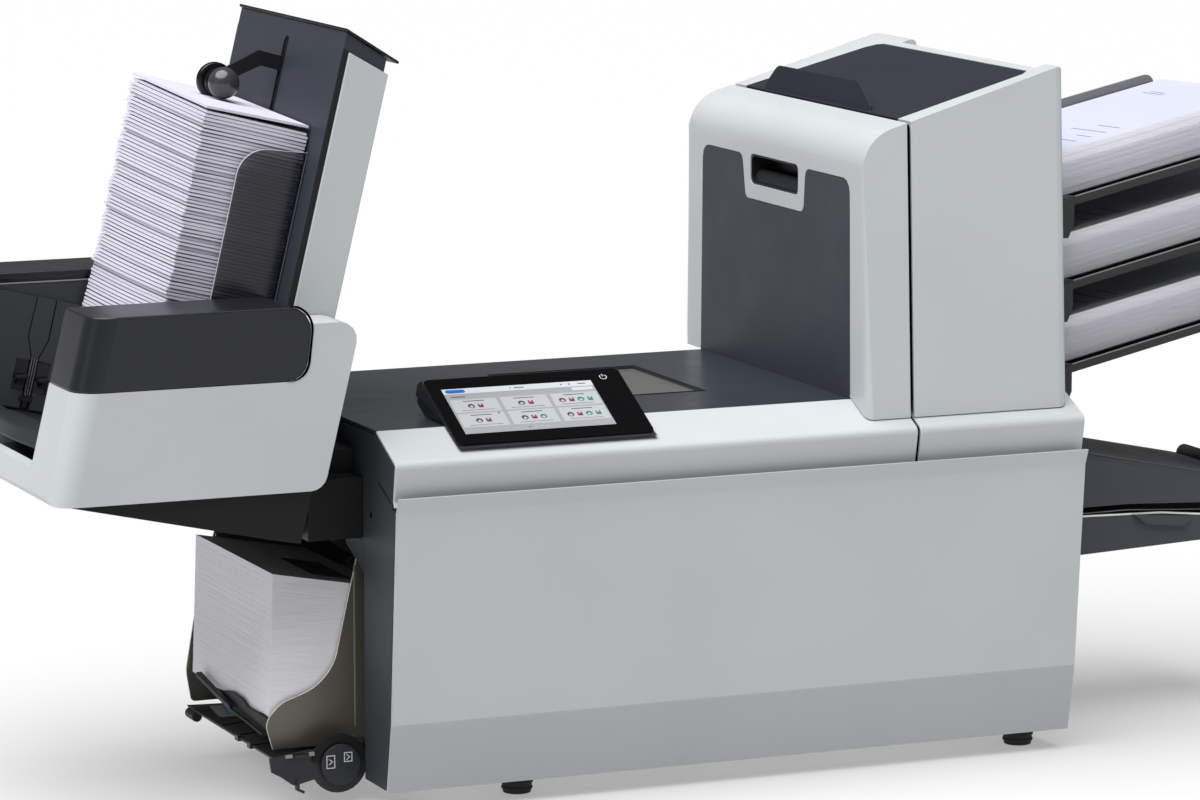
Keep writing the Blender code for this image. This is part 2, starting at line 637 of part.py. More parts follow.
def make_stacker_column():
    y0, y1 = COLUMN_Y
    wall = 2.5
    inner_left, inner_right = COLUMN_U[0] + wall, COLUMN_U[1] - wall
    hollow = prism([leaned(inner_left, 300), leaned(inner_left, 594.5), leaned(inner_right, 579.5),
                    leaned(inner_right, 300)], "y", y0 + wall, y1 - wall)
    slot = prism([leaned(COLUMN_U[0] - 5, 350), leaned(COLUMN_U[0] - 5, 582), leaned(COLUMN_U[0] + 8, 582),
                  leaned(COLUMN_U[0] + 8, 350)], "y", 229.0, 236.0)
    piece("stacker_column", prism(column_outline(), "y", y0, y1), SLATE, cut=[hollow, slot])

    panel_left = COLUMN_U[0] + 5.5
    shell = [leaned(panel_left, 470), leaned(panel_left, 581.0), leaned(COLUMN_U[1] + 3.4, 569)]
    lean = math.tan(STACKER_LEAN)
    low_z = COLUMN_BOTTOM
    left = shell[1][0] - (shell[1][1] - low_z) * lean
    right = shell[2][0] - (shell[2][1] - low_z) * lean
    outline = [(left, low_z), shell[1], shell[2], (right, low_z)]
    grown = [leaned(COLUMN_U[0] - 9, 300), leaned(COLUMN_U[0] - 9, 640), leaned(COLUMN_U[1] + GAP, 640),
             leaned(COLUMN_U[1] + GAP, 300)]
    piece("column_panel", prism(outline, "y", y0 - 3.4, y1 + 3.4), GREY,
          cut=[prism(grown, "y", y0 - GAP, y1 + GAP)])

    lid_left = leaned(COLUMN_U[0] - 1.5, 598.9)
    lid_right = leaned(COLUMN_U[1] + 11, 580.0)
    raised = [(x + 0.6, z + 2.4) for x, z in (lid_right, lid_left)]
    piece("column_top", prism([lid_left, lid_right, *raised], "y", y0 - 3, y1 + 3), BLACK)


ARM_AXIS_Y = 232.5
BALL_AT = (-429.0, 647.5)


def make_stacker_arm():
    root = leaned(COLUMN_U[0] + 14, 560)
    outline = [(root[0], root[1] + 6), (-371.5, 669.5), (-389.5, 675.0), (-423.0, 659.5), (-432.5, 652.0),
               (-428.0, 643.0), (-414.0, 650.0), (-388.0, 660.5), (-370.5, 655.5), (root[0], root[1] - 8)]
    x, z = BALL_AT
    hub = disc("y", (x, z), 6.0, ARM_AXIS_Y - 2, ARM_AXIS_Y + 2, 16)
    bore = disc("y", (x, z), 3.0, ARM_AXIS_Y - 9, ARM_AXIS_Y + 9, 16)
    piece("stacker_arm", prism(outline, "y", ARM_AXIS_Y - 2, ARM_AXIS_Y + 2), BLACK, add=[hub], cut=[bore])
    shaft = disc("y", (x, z), 2.5, ARM_AXIS_Y - 8, ARM_AXIS_Y + 8, 16)
    wheel = disc("y", (x, z), 17.0, ARM_AXIS_Y + 4.0, ARM_AXIS_Y + 12.0, 24)
    knob = ball((x, ARM_AXIS_Y - 17.5, z), 14.5)
    piece("stacker_roller", wheel, BLACK, add=[shaft, knob], pivot=(x, ARM_AXIS_Y, z))


def make_stacker_guide():
    points = [leaned(-513.5, SHELF_W + 2), leaned(-513.5, 485), leaned(-546, 479), leaned(-575, 452),
              leaned(-573, SHELF_W + 2)]
    piece("stacker_guide", prism(rounded(points, {2: 16, 3: 22}, 4), "y", 114.0, 116.0), SMOKED)


def make_upper_envelopes():
    (u0, u1), (w0, w1) = UPPER_STACK_U, UPPER_STACK_W
    outline = [leaned(u0, w0), leaned(u0, w1), leaned(u1, w1), leaned(u1, w0)]
    piece("upper_envelopes", prism(outline, "y", *STACK_Y), PAPER_WHITE)


# ---------------------------------------------------------------- envelope hopper
DIAL_AT = (-369.0, 37.0)
LEVER_PIVOT = (-432.0, 71.0)


def make_hopper():
    y0, y1 = 92.0, 340.0
    floor = prism([(-430, 46.0), (-428, 42.5), (-296, 38.0), (-296, 41.5)], "y", y0 + 3, y1)
    rolled = disc("y", (-427, 38.5), 5.0, y1 - 22, y1, 16)
    deck = prism([(-382, 40), (-382, 67.9), (-300, 52.6), (-300, 39)], "y", 160, 296)
    piece("hopper_tray", floor, SLATE, add=[rolled, deck])
    plate = rounded([(-436, 47), (-434, 34), (-425, 29), (-413, 20), (-390, 25), (-347, 24), (-347, 52),
                     (-400, 52)], {3: 5}, 3)
    arch = disc("y", DIAL_AT, 27.0, 88.0, 91.0, 32)
    hook = prism([(-411, 26), (-408, 26), (-408, 17), (-403, 14.5), (-404, 12.5), (-411, 16)], "y", 86, 91)
    bore = disc("y", DIAL_AT, 4.5, 80, 100, 16)
    piece("hopper_plate", prism(plate, "y", 88.0, 91.0), SLATE, add=[arch, hook], cut=[bore])
    dial = disc("y", DIAL_AT, 19.0, 83.0, 87.4, 32)
    spindle = disc("y", DIAL_AT, 4.0, 84, 93, 16)
    piece("hopper_dial", dial, SLATE, add=[spindle], pivot=(DIAL_AT[0], 0, DIAL_AT[1]))

    front = rounded([(-302, 222), (-341, 222), (-362, 127), (-386, 105), (-413, 94), (-427, 67), (-424, 49),
                     (-302, 49)], {2: 30, 3: 20, 4: 14, 5: 14}, 4)
    piece("hopper_guide_front", prism(front, "y", 114.5, 116.5), GUNMETAL)
    rear = rounded([(-262, 178), (-287, 195), (-330, 222), (-398, 222), (-422, 128), (-430, 80), (-425, 49),
                    (-302, 49), (-302, 150)], {3: 20, 4: 30, 5: 20}, 4)
    rails = [box(-400, -310, 337.5, 340.5, z, z + 3) for z in (206, 214)]
    piece("hopper_guide_rear", prism(rear, "y", 339.5, 341.5), GUNMETAL, add=rails)
    x, z = LEVER_PIVOT
    reach = loft([(x + a, 204, z - 3 + c) for a, c in ((-2, 0), (2, 0), (2, 5), (-2, 5))],
                 [(x + a, 300, z + 10 + c) for a, c in ((-2, 0), (4, 0), (4, 5), (-2, 5))])
    piece("hopper_lever", reach, BLACK, pivot=(x, 205, z))


def make_lower_envelopes():
    left_low, left_high = (-425.0, 77.0), (-420.0, 210.0)
    run = 109.0
    drop = run * math.tan(HOPPER_TILT)
    right = [(x + run, z - drop) for x, z in (left_high, left_low)]
    piece("lower_envelopes", prism([left_low, left_high, *right], "y", *STACK_Y), PAPER_WHITE)


def main():
    for obj in list(bpy.data.objects):
        bpy.data.objects.remove(obj)
    make_chassis()
    make_feet()
    make_end_covers()
    make_front_covers()
    make_deck()
    make_front_door()
    make_drive()
    make_power_entry()
    make_access_cover()
    make_tower_cover()
    make_tower_lid()
    make_screen()
    make_trays()
    make_insert_feeder()
    make_stacker_body()
    make_stacker_caps()
    make_stacker_base()
    make_stacker_column()
    make_stacker_arm()
    make_stacker_guide()
    make_upper_envelopes()
    make_hopper()
    make_lower_envelopes()


main()
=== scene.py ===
"""Looks of the tabletop folder inserter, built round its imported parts.

Lengths named in millimetres use the part's own cabinet frame: x from the middle of the cabinet, y from
the face of the front door towards the back, z from the table. at() turns them into metres in the frame.
"""
import json
import random
from math import cos, pi, radians, sin, tan

import bmesh
import bpy
from mathutils import Matrix, Vector


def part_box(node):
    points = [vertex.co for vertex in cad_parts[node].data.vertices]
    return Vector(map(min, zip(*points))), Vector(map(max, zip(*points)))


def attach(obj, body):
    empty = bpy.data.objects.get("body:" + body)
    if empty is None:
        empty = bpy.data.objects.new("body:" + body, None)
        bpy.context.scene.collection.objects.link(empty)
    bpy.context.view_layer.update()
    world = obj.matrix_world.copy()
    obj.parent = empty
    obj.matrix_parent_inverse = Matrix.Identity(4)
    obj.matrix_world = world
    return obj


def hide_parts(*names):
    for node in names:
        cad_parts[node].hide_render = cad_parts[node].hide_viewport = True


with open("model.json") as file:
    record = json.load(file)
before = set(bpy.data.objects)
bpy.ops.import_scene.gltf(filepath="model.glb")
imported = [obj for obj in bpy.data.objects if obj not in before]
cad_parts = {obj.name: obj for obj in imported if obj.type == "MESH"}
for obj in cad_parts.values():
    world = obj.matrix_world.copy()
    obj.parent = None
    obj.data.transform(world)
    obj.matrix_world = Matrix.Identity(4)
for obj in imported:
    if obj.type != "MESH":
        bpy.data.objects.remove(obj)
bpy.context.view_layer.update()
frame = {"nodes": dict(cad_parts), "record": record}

MM = 0.001
ORIGIN = Vector((-7.5, 214, 0))
BODY_OF = {node: body for body, nodes in frame["record"]["behaviour"]["bodies"].items() for node in nodes}
MIDDLE = 228
SHARP_ANGLE, BEVEL_ANGLE = 35, 28
LEAN = radians(13.6)
DECK_Z = 347


def at(x, y, z):
    """A point of the cabinet frame, in millimetres, as metres in the part's frame."""
    return (Vector((x, y, z)) - ORIGIN) * MM


def leaned(u, w):
    """A point of the leaning stacker, u along its floor and w up its column, as (x, z)."""
    return (u * cos(LEAN) + w * sin(LEAN), w * cos(LEAN) - u * sin(LEAN))


# ---- camera, light and floor
CAMERA_AT = (-1990.1, -4336.3, 1119.8)
CAMERA_AIM = (-149.4, 0, 370.4)
CAMERA_LENS = 159.2
SENSOR_WIDTH = 36
WORLD_STRENGTH = 0.17
SKY_FROM, SKY_ANGLE, SKY_STRENGTH = (-0.3, -0.13, 0.94), 70, 5.4
PANELS = {  # place and target in metres, size, power, spread in degrees
    "left_panel": ((-3, -0.6, 0.4), (0, 0, 0.3), (0.5, 2), 2.6, 180),
    "tower_panel": ((0.4, -1.7, 1.9), (0.25, 0, 0.58), (0.5, 0.5), 0.12, 24),
}
FLOOR_SIZE, FLOOR_Z, FLOOR_COLOUR, FLOOR_GLOW = 15, -0.0005, (0.38, 0.38, 0.38), 0.34


def placed(name, data):
    """A new object, linked into the scene."""
    thing = bpy.data.objects.new(name, data)
    bpy.context.scene.collection.objects.link(thing)
    return thing


def aim(thing, direction):
    thing.rotation_euler = Vector(direction).to_track_quat("-Z", "Y").to_euler()


def add_camera():
    data = bpy.data.cameras.new("camera")
    data.lens = CAMERA_LENS
    data.sensor_width = SENSOR_WIDTH
    data.clip_end = 50
    camera = placed("camera", data)
    camera.location = at(*CAMERA_AT)
    aim(camera, at(*CAMERA_AIM) - camera.location)
    bpy.context.scene.camera = camera


def add_light(name, place, target, size, power, angle):
    data = bpy.data.lights.new(name, "AREA")
    data.shape = "RECTANGLE"
    data.size, data.size_y = size
    data.energy = power
    data.spread = radians(angle)
    light = placed(name, data)
    light.location = place
    aim(light, Vector(target) - Vector(place))


def add_studio():
    world = bpy.data.worlds.new("studio")
    bpy.context.scene.world = world
    world.use_nodes = True
    set_inputs(world.node_tree.nodes["Background"], Color=(1, 1, 1, 1), Strength=WORLD_STRENGTH)
    sky = bpy.data.lights.new("sky_panel", "SUN")
    sky.angle = radians(SKY_ANGLE)
    sky.energy = SKY_STRENGTH
    aim(placed("sky_panel", sky), -Vector(SKY_FROM))
    for name, values in PANELS.items():
        add_light(name, *values)
    mesh = bpy.data.meshes.new("floor")
    bm = bmesh.new()
    bmesh.ops.create_grid(bm, x_segments=1, y_segments=1, size=FLOOR_SIZE)
    bm.to_mesh(mesh)
    bm.free()
    floor = placed("floor", mesh)
    floor.location = (0, 0, FLOOR_Z)
    pale = plain("pale_floor", FLOOR_COLOUR, 0.7, specular=0.2, Emission_Color=(1, 1, 1, 1),
                 Emission_Strength=FLOOR_GLOW)
    mesh.materials.append(pale)


# ---- materials
def shader_of(material):
    return material.node_tree.nodes["Principled BSDF"]


def set_inputs(node, **values):
    """Plain values on a node's own sockets, with underscores for the spaces in their names."""
    for socket, value in values.items():
        node.inputs[socket.replace("_", " ")].default_value = value


def plain(name, colour, roughness, metallic=0, specular=0.5, **sockets):
    """A material of even values."""
    material = bpy.data.materials.new(name)
    material.use_nodes = True
    set_inputs(shader_of(material), Base_Color=(*colour, 1), Roughness=roughness, Metallic=metallic,
               Specular_IOR_Level=specular, **sockets)
    return material


def noise_of(material, scale, detail, stretch=(1, 1, 1)):
    """A noise texture in the object's own metres, scale counted per metre."""
    nodes, links = material.node_tree.nodes, material.node_tree.links
    place = nodes.new("ShaderNodeTexCoord")
    mapping = nodes.new("ShaderNodeMapping")
    set_inputs(mapping, Scale=stretch)
    noise = nodes.new("ShaderNodeTexNoise")
    set_inputs(noise, Scale=scale, Detail=detail)
    links.new(place.outputs["Object"], mapping.inputs["Vector"])
    links.new(mapping.outputs["Vector"], noise.inputs["Vector"])
    return noise


def ramp_of(material, noise, low, high, start=0.35, end=0.65):
    """A colour ramp over a noise texture, from one colour to another."""
    ramp = material.node_tree.nodes.new("ShaderNodeValToRGB")
    for element, place, colour in zip(ramp.color_ramp.elements, (start, end), (low, high)):
        element.position = place
        element.color = (*colour, 1)
    material.node_tree.links.new(noise.outputs["Fac"], ramp.inputs["Fac"])
    return ramp


def add_bump(material, noise, distance, strength):
    """Bump from a noise texture."""
    nodes, links = material.node_tree.nodes, material.node_tree.links
    bump = nodes.new("ShaderNodeBump")
    set_inputs(bump, Distance=distance, Strength=strength)
    links.new(noise.outputs["Fac"], bump.inputs["Height"])
    links.new(bump.outputs["Normal"], shader_of(material).inputs["Normal"])


def shifted(colour, factor):
    return tuple(min(1, channel * factor) for channel in colour)


def tint_and_gloss(material, cloud, smear, colour, tints, glosses):
    """Clouds the colour between two shares of it, and the roughness between two values."""
    links, shader = material.node_tree.links, shader_of(material)
    tint = ramp_of(material, cloud, *[shifted(colour, share) for share in tints])
    links.new(tint.outputs["Color"], shader.inputs["Base Color"])
    gloss = ramp_of(material, smear, *[(value,) * 3 for value in glosses])
    links.new(gloss.outputs["Color"], shader.inputs["Roughness"])


def moulded(name, colour, roughness, grain=1500, depth=6e-5, variation=0.05, **sockets):
    """Moulded plastic: a fine spark-eroded grain, faintly cloudy in colour and gloss."""
    material = plain(name, colour, roughness, **sockets)
    cloud = noise_of(material, 6, 3)
    tint_and_gloss(material, cloud, noise_of(material, 22, 4), colour, (1 - variation, 1 + variation),
                   (roughness - 0.03, roughness + 0.03))
    fine = noise_of(material, grain, 1)
    add_bump(material, fine, depth, 0.35)
    return material


def brushed(name, colour, roughness, stretch, metallic=1):
    """Rolled or brushed sheet metal, its scratches along one direction."""
    material = plain(name, colour, roughness, metallic)
    scratch = noise_of(material, 260, 3, stretch)
    tint_and_gloss(material, noise_of(material, 8, 3), scratch, colour, (0.85, 1.12),
                   (roughness - 0.08, roughness + 0.1))
    add_bump(material, scratch, 4e-5, 0.4)
    return material


def lined(name, colour, dark_colour, roughness, spacing, depth):
    """Paper edges: fine level lines, uneven in spacing and tone, on a matt surface."""
    material = moulded(name, colour, roughness, 700, 5e-5, 0.02)
    lines = noise_of(material, 1, 4, (9, 9, spacing))
    tone = ramp_of(material, lines, dark_colour, colour, 0.36, 0.58)
    material.node_tree.links.new(tone.outputs["Color"], shader_of(material).inputs["Base Color"])
    add_bump(material, lines, depth, 0.5)
    return material


MATERIALS = {}
LIT = {"lit_grey": (0.26, 0.27, 0.28), "lit_white": (0.46, 0.48, 0.5), "lit_tile": (0.36, 0.375, 0.39),
       "lit_dark": (0.05, 0.05, 0.06), "lit_crimson": (0.2, 0.02, 0.06), "lit_green": (0.03, 0.17, 0.11),
       "lit_purple": (0.15, 0.03, 0.12), "lit_blue": (0.02, 0.11, 0.38)}


def make_materials():
    dull = {"depth": 8e-5, "specular": 0.28}
    flat = {"depth": 8e-5, "specular": 0.18}
    MATERIALS.update(
        light=moulded("light_shell_plastic", (0.462, 0.486, 0.498), 0.4, variation=0.02),
        slate=moulded("slate_plastic", (0.036, 0.041, 0.054), 0.5, **flat),
        slate_side=moulded("slate_side_plastic", (0.035, 0.04, 0.046), 0.5, **dull),
        cap=moulded("stacker_cap_plastic", (0.0095, 0.0105, 0.014), 0.32, depth=8e-5, specular=0.42),
        # a darker copy of the slate: painted shade for the lid, which leans towards the light, and for the
        # handle's roll
        lid=moulded("slate_plastic_painted_shade", (0.017, 0.02, 0.028), 0.5, **flat),
        deck=moulded("deck_plastic", (0.026, 0.03, 0.039), 0.33, depth=4e-5),
        feeder=moulded("feeder_plastic", (0.052, 0.058, 0.069), 0.5, **dull),
        tray=moulded("tray_plastic", (0.031, 0.032, 0.032), 0.5, **dull),
        tray_guide=moulded("tray_guide_plastic", (0.17, 0.17, 0.175), 0.4, depth=4e-5),
        # a darker copy of the light shell: painted shade for the door's lower band, which faces slightly
        # down
        light_low=moulded("light_shell_painted_shade", (0.385, 0.407, 0.413), 0.42, variation=0.02),
        # pale: painted highlight on the smoked guide's cut edge
        guide_edge=plain("clear_edge_painted_highlight", (0.5, 0.5, 0.56), 0.3),
        # near-black without sheen: painted shade in gaps, seams and the trays' ledges
        gutter=plain("painted_shade_black", (0.002, 0.002, 0.002), 0.9, specular=0),
        plate=moulded("well_plate_plastic", (0.034, 0.039, 0.04), 0.45, **dull),
        pan=moulded("well_pan_plastic", (0.065, 0.075, 0.078), 0.45, **dull),
        # pale: painted highlight along edges
        edge_grey=moulded("plastic_edge_painted_highlight", (0.2, 0.21, 0.21), 0.42),
        deep_black=moulded("deep_black_plastic", (0.0065, 0.007, 0.0075), 0.5, specular=0.22),
        dark=moulded("dark_plastic", (0.015, 0.016, 0.018), 0.45, depth=0.0001, specular=0.4),
        black=moulded("black_plastic", (0.009, 0.009, 0.01), 0.5, depth=0.0001, specular=0.28),
        gloss_black=plain("gloss_black", (0.003, 0.003, 0.004), 0.25),
        ball=plain("ball_plastic", (0.035, 0.036, 0.039), 0.22, Coat_Weight=0.3),
        rubber=moulded("rubber", (0.018, 0.018, 0.019), 0.75, 900, 1.2e-4),
        steel=brushed("zinc_sheet", (0.6, 0.61, 0.62), 0.34, (1, 12, 12)),
        steel_dark=brushed("dull_steel", (0.2, 0.2, 0.21), 0.42, (1, 12, 12), 0.8),
        shaft=brushed("ground_steel", (0.66, 0.66, 0.67), 0.22, (14, 1, 14)),
        gunmetal=brushed("bronze_grey_guide", (0.15, 0.143, 0.115), 0.4, (1, 6, 10), 0.6),
        # paler: the stops' own colour, and a painted highlight on the front guide's fold
        gunmetal_light=brushed("bronze_grey_pale_and_fold_highlight", (0.26, 0.255, 0.23), 0.38, (1, 6, 10), 0.5),
        # pale and not metallic: painted highlight on cut edges
        bright_edge=brushed("cut_edge_painted_highlight", (0.8, 0.8, 0.77), 0.34, (6, 6, 6), 0),
        smoked=plain("smoked_clear_plastic", (0.008, 0.009, 0.018), 0.16, Alpha=0.58),
        clear=plain("clear_plastic", (0.42, 0.42, 0.47), 0.14, Alpha=0.2),
        window=moulded("window_plastic", (0.1, 0.098, 0.092), 0.3, 900, 2e-5, 0.03),
        film=plain("envelope_film", (0.2, 0.21, 0.22), 0.2, Alpha=0.6),
        paper=lined("sheet_paper", (0.86, 0.85, 0.92), (0.79, 0.78, 0.85), 0.82, 900, 6e-5),
        # two copies of one paper for the stacks' tops: painted light for the stacks in shade under the
        # trays, painted shade for the open top stack
        sheet_face=moulded("sheet_face", (0.74, 0.76, 0.84), 0.82, 600, 4e-5, 0.015),
        sheet_top=moulded("top_sheet_face", (0.44, 0.455, 0.57), 0.82, 600, 4e-5, 0.015),
        envelope=moulded("envelope_paper", (0.57, 0.555, 0.65), 0.8, 600, 8e-5, 0.04),
        envelope_fine=lined("envelope_edges", (0.84, 0.83, 0.88), (0.8, 0.79, 0.835), 0.82, 620, 6e-5),
        print=moulded("faint_print", (0.16, 0.16, 0.19), 0.85, 700, 2e-5, 0.05),
        glass=plain("screen_glass_black", (0.002, 0.002, 0.0025), 0.12, specular=0.12),
        mark=moulded("pale_mark", (0.55, 0.56, 0.58), 0.5),
        nylon=moulded("white_nylon", (0.62, 0.62, 0.58), 0.45),
        green_knob=moulded("knob_plastic", (0.03, 0.16, 0.09), 0.42),
        pad=moulded("grey_pad", (0.16, 0.165, 0.155), 0.7, 800, 1.5e-4),
        label_blue=moulded("blue_label", (0.045, 0.13, 0.36), 0.45),
        label_pale=moulded("label_stripe", (0.35, 0.48, 0.66), 0.45))
    for name, colour in LIT.items():
        MATERIALS[name] = plain("display_" + name, colour, 0.3, specular=0.1,
                                Emission_Color=(*colour, 1), Emission_Strength=0.12)


# ---- mesh tools, in cabinet millimetres
def rounded(points, radii, steps=6):
    """The outline with arcs at its corners: radii is one for them all, or {index: radius}."""
    if not isinstance(radii, dict):
        radii = dict.fromkeys(range(len(points)), radii)
    result = []
    count = len(points)
    for index, point in enumerate(points):
        corner = Vector(point)
        radius = radii.get(index)
        if not radius:
            result.append(tuple(corner))
            continue
        before = (Vector(points[index - 1]) - corner).normalized()
        after = (Vector(points[(index + 1) % count]) - corner).normalized()
        half = before.angle(after) / 2
        centre = corner + (before + after).normalized() * radius / sin(half)
        start = corner + before * radius / tan(half) - centre
        sweep = start.angle_signed(corner + after * radius / tan(half) - centre)
        for step in range(steps + 1):
            result.append(tuple(centre + Matrix.Rotation(-sweep * step / steps, 2) @ start))
    return result


def loft(*rings):
    """A closed mesh through outlines of as many points each."""
    bm = bmesh.new()
    rows = [[bm.verts.new(point) for point in ring] for ring in rings]
    bm.faces.new(rows[0])
    bm.faces.new(list(reversed(rows[-1])))
    count = len(rows[0])
    for first, second in zip(rows, rows[1:]):
        for index in range(count):
            after = (index + 1) % count
            bm.faces.new((first[after], first[index], second[index], second[after]))
    bmesh.ops.recalc_face_normals(bm, faces=bm.faces)
    return bm


def spread(axis, a, b, along):
    return {"x": (along, a, b), "y": (a, along, b), "z": (a, b, along)}[axis]


def prism(outline, axis, low, high):
    return loft(*[[spread(axis, a, b, along) for a, b in outline] for along in (low, high)])


def rect(a0, a1, b0, b1):
    return ((a0, b0), (a1, b0), (a1, b1), (a0, b1))


def border(a0, a1, b0, b1, wide):
    """The four bars of a rectangular frame."""
    return (rect(a0, a1, b0, b0 + wide), rect(a0, a1, b1 - wide, b1),
            rect(a0, a0 + wide, b0 + wide, b1 - wide), rect(a1 - wide, a1, b0 + wide, b1 - wide))


def box(x0, x1, y0, y1, z0, z1):
    return prism(rect(x0, x1, y0, y1), "z", z0, z1)


def sheet(outline, height, low, high):
    """A thin layer between two distances from a surface; height(x, y) is the surface."""
    return loft(*[[(x, y, height(x, y) + rise) for x, y in outline] for rise in (low, high)])


def lathe(axis, centre, profile, steps):
    """A turned body from a profile of (place along the axis, radius) pairs."""
    angles = [2 * pi * (step + 0.5) / steps for step in range(steps)]
    turns = [(cos(angle), sin(angle)) for angle in angles]
    return loft(*[[spread(axis, centre[0] + radius * a, centre[1] + radius * b, along) for a, b in turns]
                  for along, radius in profile])


def disc(axis, centre, radius, low, high, steps):
    return lathe(axis, centre, ((low, radius), (high, radius)), steps)


def ring(axis, centre, inner, outer, low, high, start, end, steps=40):
    """Part of a flat ring, from one angle to another in degrees."""
    angles = [radians(start + (end - start) * step / steps) for step in range(steps + 1)]
    arc = [(cos(angle), sin(angle)) for angle in angles]
    outline = [(centre[0] + outer * a, centre[1] + outer * b) for a, b in arc]
    outline += [(centre[0] + inner * a, centre[1] + inner * b) for a, b in reversed(arc)]
    return prism(outline, axis, low, high)


def tube(points, radius, sides=10):
    """A round bar through the points."""
    places = [Vector(point) for point in points]
    turns = [2 * pi * step / sides for step in range(sides)]
    rings = []
    for index, place in enumerate(places):
        ahead = places[min(index + 1, len(places) - 1)] - places[max(index - 1, 0)]
        direction = ahead.normalized()
        guide = Vector((0, 0, 1)) if abs(direction.z) < 0.9 else Vector((0, 1, 0))
        side = direction.cross(guide).normalized()
        above = side.cross(direction)
        rings.append([place + side * radius * cos(turn) + above * radius * sin(turn)
                      for turn in turns])
    return loft(*rings)


def mirrored(bm):
    """A copy mirrored front to back about the machine's middle plane."""
    copy = bm.copy()
    for vert in copy.verts:
        vert.co.y = 2 * MIDDLE - vert.co.y
    bmesh.ops.reverse_faces(copy, faces=copy.faces)
    return copy


def both(part):
    return [part, mirrored(part)]


def joined(parts):
    """One mesh of all the parts; a part's place in the list is its faces' material number."""
    whole = bmesh.new()
    for number, part in enumerate(parts):
        for bm in (part if isinstance(part, (list, tuple)) else [part]):
            for face in bm.faces:
                face.material_index = number
            data = bpy.data.meshes.new("part")
            bm.to_mesh(data)
            bm.free()
            whole.from_mesh(data)
            bpy.data.meshes.remove(data)
    return whole


def in_frame(bm):
    for vert in bm.verts:
        vert.co = at(*vert.co)
    return bm


# ---- pieces
def finished(name, bm, materials, body="machine"):
    """A new piece from a mesh already in metres, riding on a body."""
    mesh = bpy.data.meshes.new(name)
    bm.normal_update()
    bm.to_mesh(mesh)
    bm.free()
    for polygon in mesh.polygons:
        polygon.use_smooth = True
    mesh.set_sharp_from_angle(angle=radians(SHARP_ANGLE))
    piece = placed(name, mesh)
    for material in materials.split():
        mesh.materials.append(MATERIALS[material])
    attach(piece, body)
    return piece


def second_material(piece, test):
    """Gives a piece's second material to the polygons that pass the test."""
    for polygon in piece.data.polygons:
        if test(polygon):
            polygon.material_index = 1


def is_cut_edge(polygon):
    """Whether a polygon belongs to an upright plate's rim."""
    return abs(polygon.normal.y) < 0.3


def round_edges(piece, width, segments=3):
    """Rounds a piece's sharp edges over, width in millimetres."""
    bevel = piece.modifiers.new("rounding", "BEVEL")
    bevel.limit_method = "ANGLE"
    bevel.angle_limit = radians(BEVEL_ANGLE)
    bevel.width = width * MM
    bevel.segments = segments
    bevel.use_clamp_overlap = True
    bevel.harden_normals = True
    bevel.miter_outer = "MITER_ARC"
    weights = piece.modifiers.new("weights", "WEIGHTED_NORMAL")
    weights.keep_sharp = True


def built(name, parts, materials, body="machine", width=0, segments=2):
    """A new piece from parts in cabinet millimetres, one group of parts for each of several materials."""
    groups = parts if " " in materials else [parts]
    piece = finished(name, in_frame(joined(groups)), materials, body)
    if width:
        round_edges(piece, width, segments)
    return piece


def clean_copy(node):
    """The node's mesh with its flat faces whole again, for rounding."""
    bm = bmesh.new()
    bm.from_mesh(frame["nodes"][node].data)
    bmesh.ops.remove_doubles(bm, verts=bm.verts, dist=1.2e-5)
    bmesh.ops.dissolve_limit(bm, angle_limit=radians(0.6), verts=bm.verts, edges=bm.edges)
    return bm


def eased(node, material, width):
    """The node's shape with its sharp edges rounded over, shown in its place."""
    piece = finished(node + "_eased", clean_copy(node), material, BODY_OF[node])
    round_edges(piece, width)
    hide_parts(node)
    return piece


EASED = {
    "front_door": ("light light_low", 0.9), "front_cover_left": ("light", 0.9),
    "front_cover_right": ("light", 0.9), "tower_cover": ("light", 1), "column_panel": ("light", 0.9),
    "stacker_body": ("light", 1.2), "stacker_cap_front": ("cap", 1.4), "stacker_cap_rear": ("cap", 1.4),
    "deck_cover": ("deck", 0.6), "left_end_cover": ("slate_side", 0.6), "rear_cover": ("slate", 0.8),
    # the tower lid takes the slate's darker copy, painted shade
    "access_insert": ("slate", 0.3), "tower_lid": ("lid", 0.7), "handle_cup": ("black", 0.5),
    "screen_housing": ("dark", 1.2), "screen_mount": ("dark", 0.8), "screen_glass": ("glass", 0.4),
    "window_panel": ("window", 0.3), "stacker_base": ("deep_black", 0.8), "stacker_column": ("slate", 0.7),
    "column_top": ("black", 0.6), "stacker_arm": ("black", 0.8),
    "hopper_tray": ("black", 0.6), "hopper_plate": ("dark", 0.6), "hopper_dial": ("dark", 0.8),
    "hopper_lever": ("black", 0.8), "feeder_upper": ("feeder", 1),
    "feeder_roller": ("rubber", 0.8), "chassis": ("steel", 0.3), "door_hinge_rod": ("shaft", 0.3),
    "fold_roller_upper": ("shaft", 0.6), "fold_roller_lower": ("shaft", 0.6),
    "transport_roller": ("rubber", 0.6), "drive_motor": ("black", 0.8), "power_inlet": ("black", 0.5),
    "power_switch": ("gloss_black", 0.5),
}
DOOR_BEND_Z = 98


def ease_everything():
    for node, (material, width) in EASED.items():
        piece = eased(node, material, width)
        if node == "front_door":
            # the faces below the bend take the light shell's darker copy, painted shade
            second_material(piece, lambda polygon: polygon.center.z < DOOR_BEND_Z * MM)
    for corner in ("front_left", "front_right", "rear_left", "rear_right"):
        eased("foot_" + corner, "rubber", 0.8)
    for number in (1, 2, 3):
        eased(f"tray_{number}", "tray", 0.6)
        eased(f"tray_guide_front_{number}", "clear", 0.4)
        eased(f"tray_guide_rear_{number}", "tray_guide", 0.5)


def span(node):
    """A node's lowest and highest corners, back in cabinet millimetres."""
    return [[value / MM + shift for value, shift in zip(corner, ORIGIN)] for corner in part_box(node)]


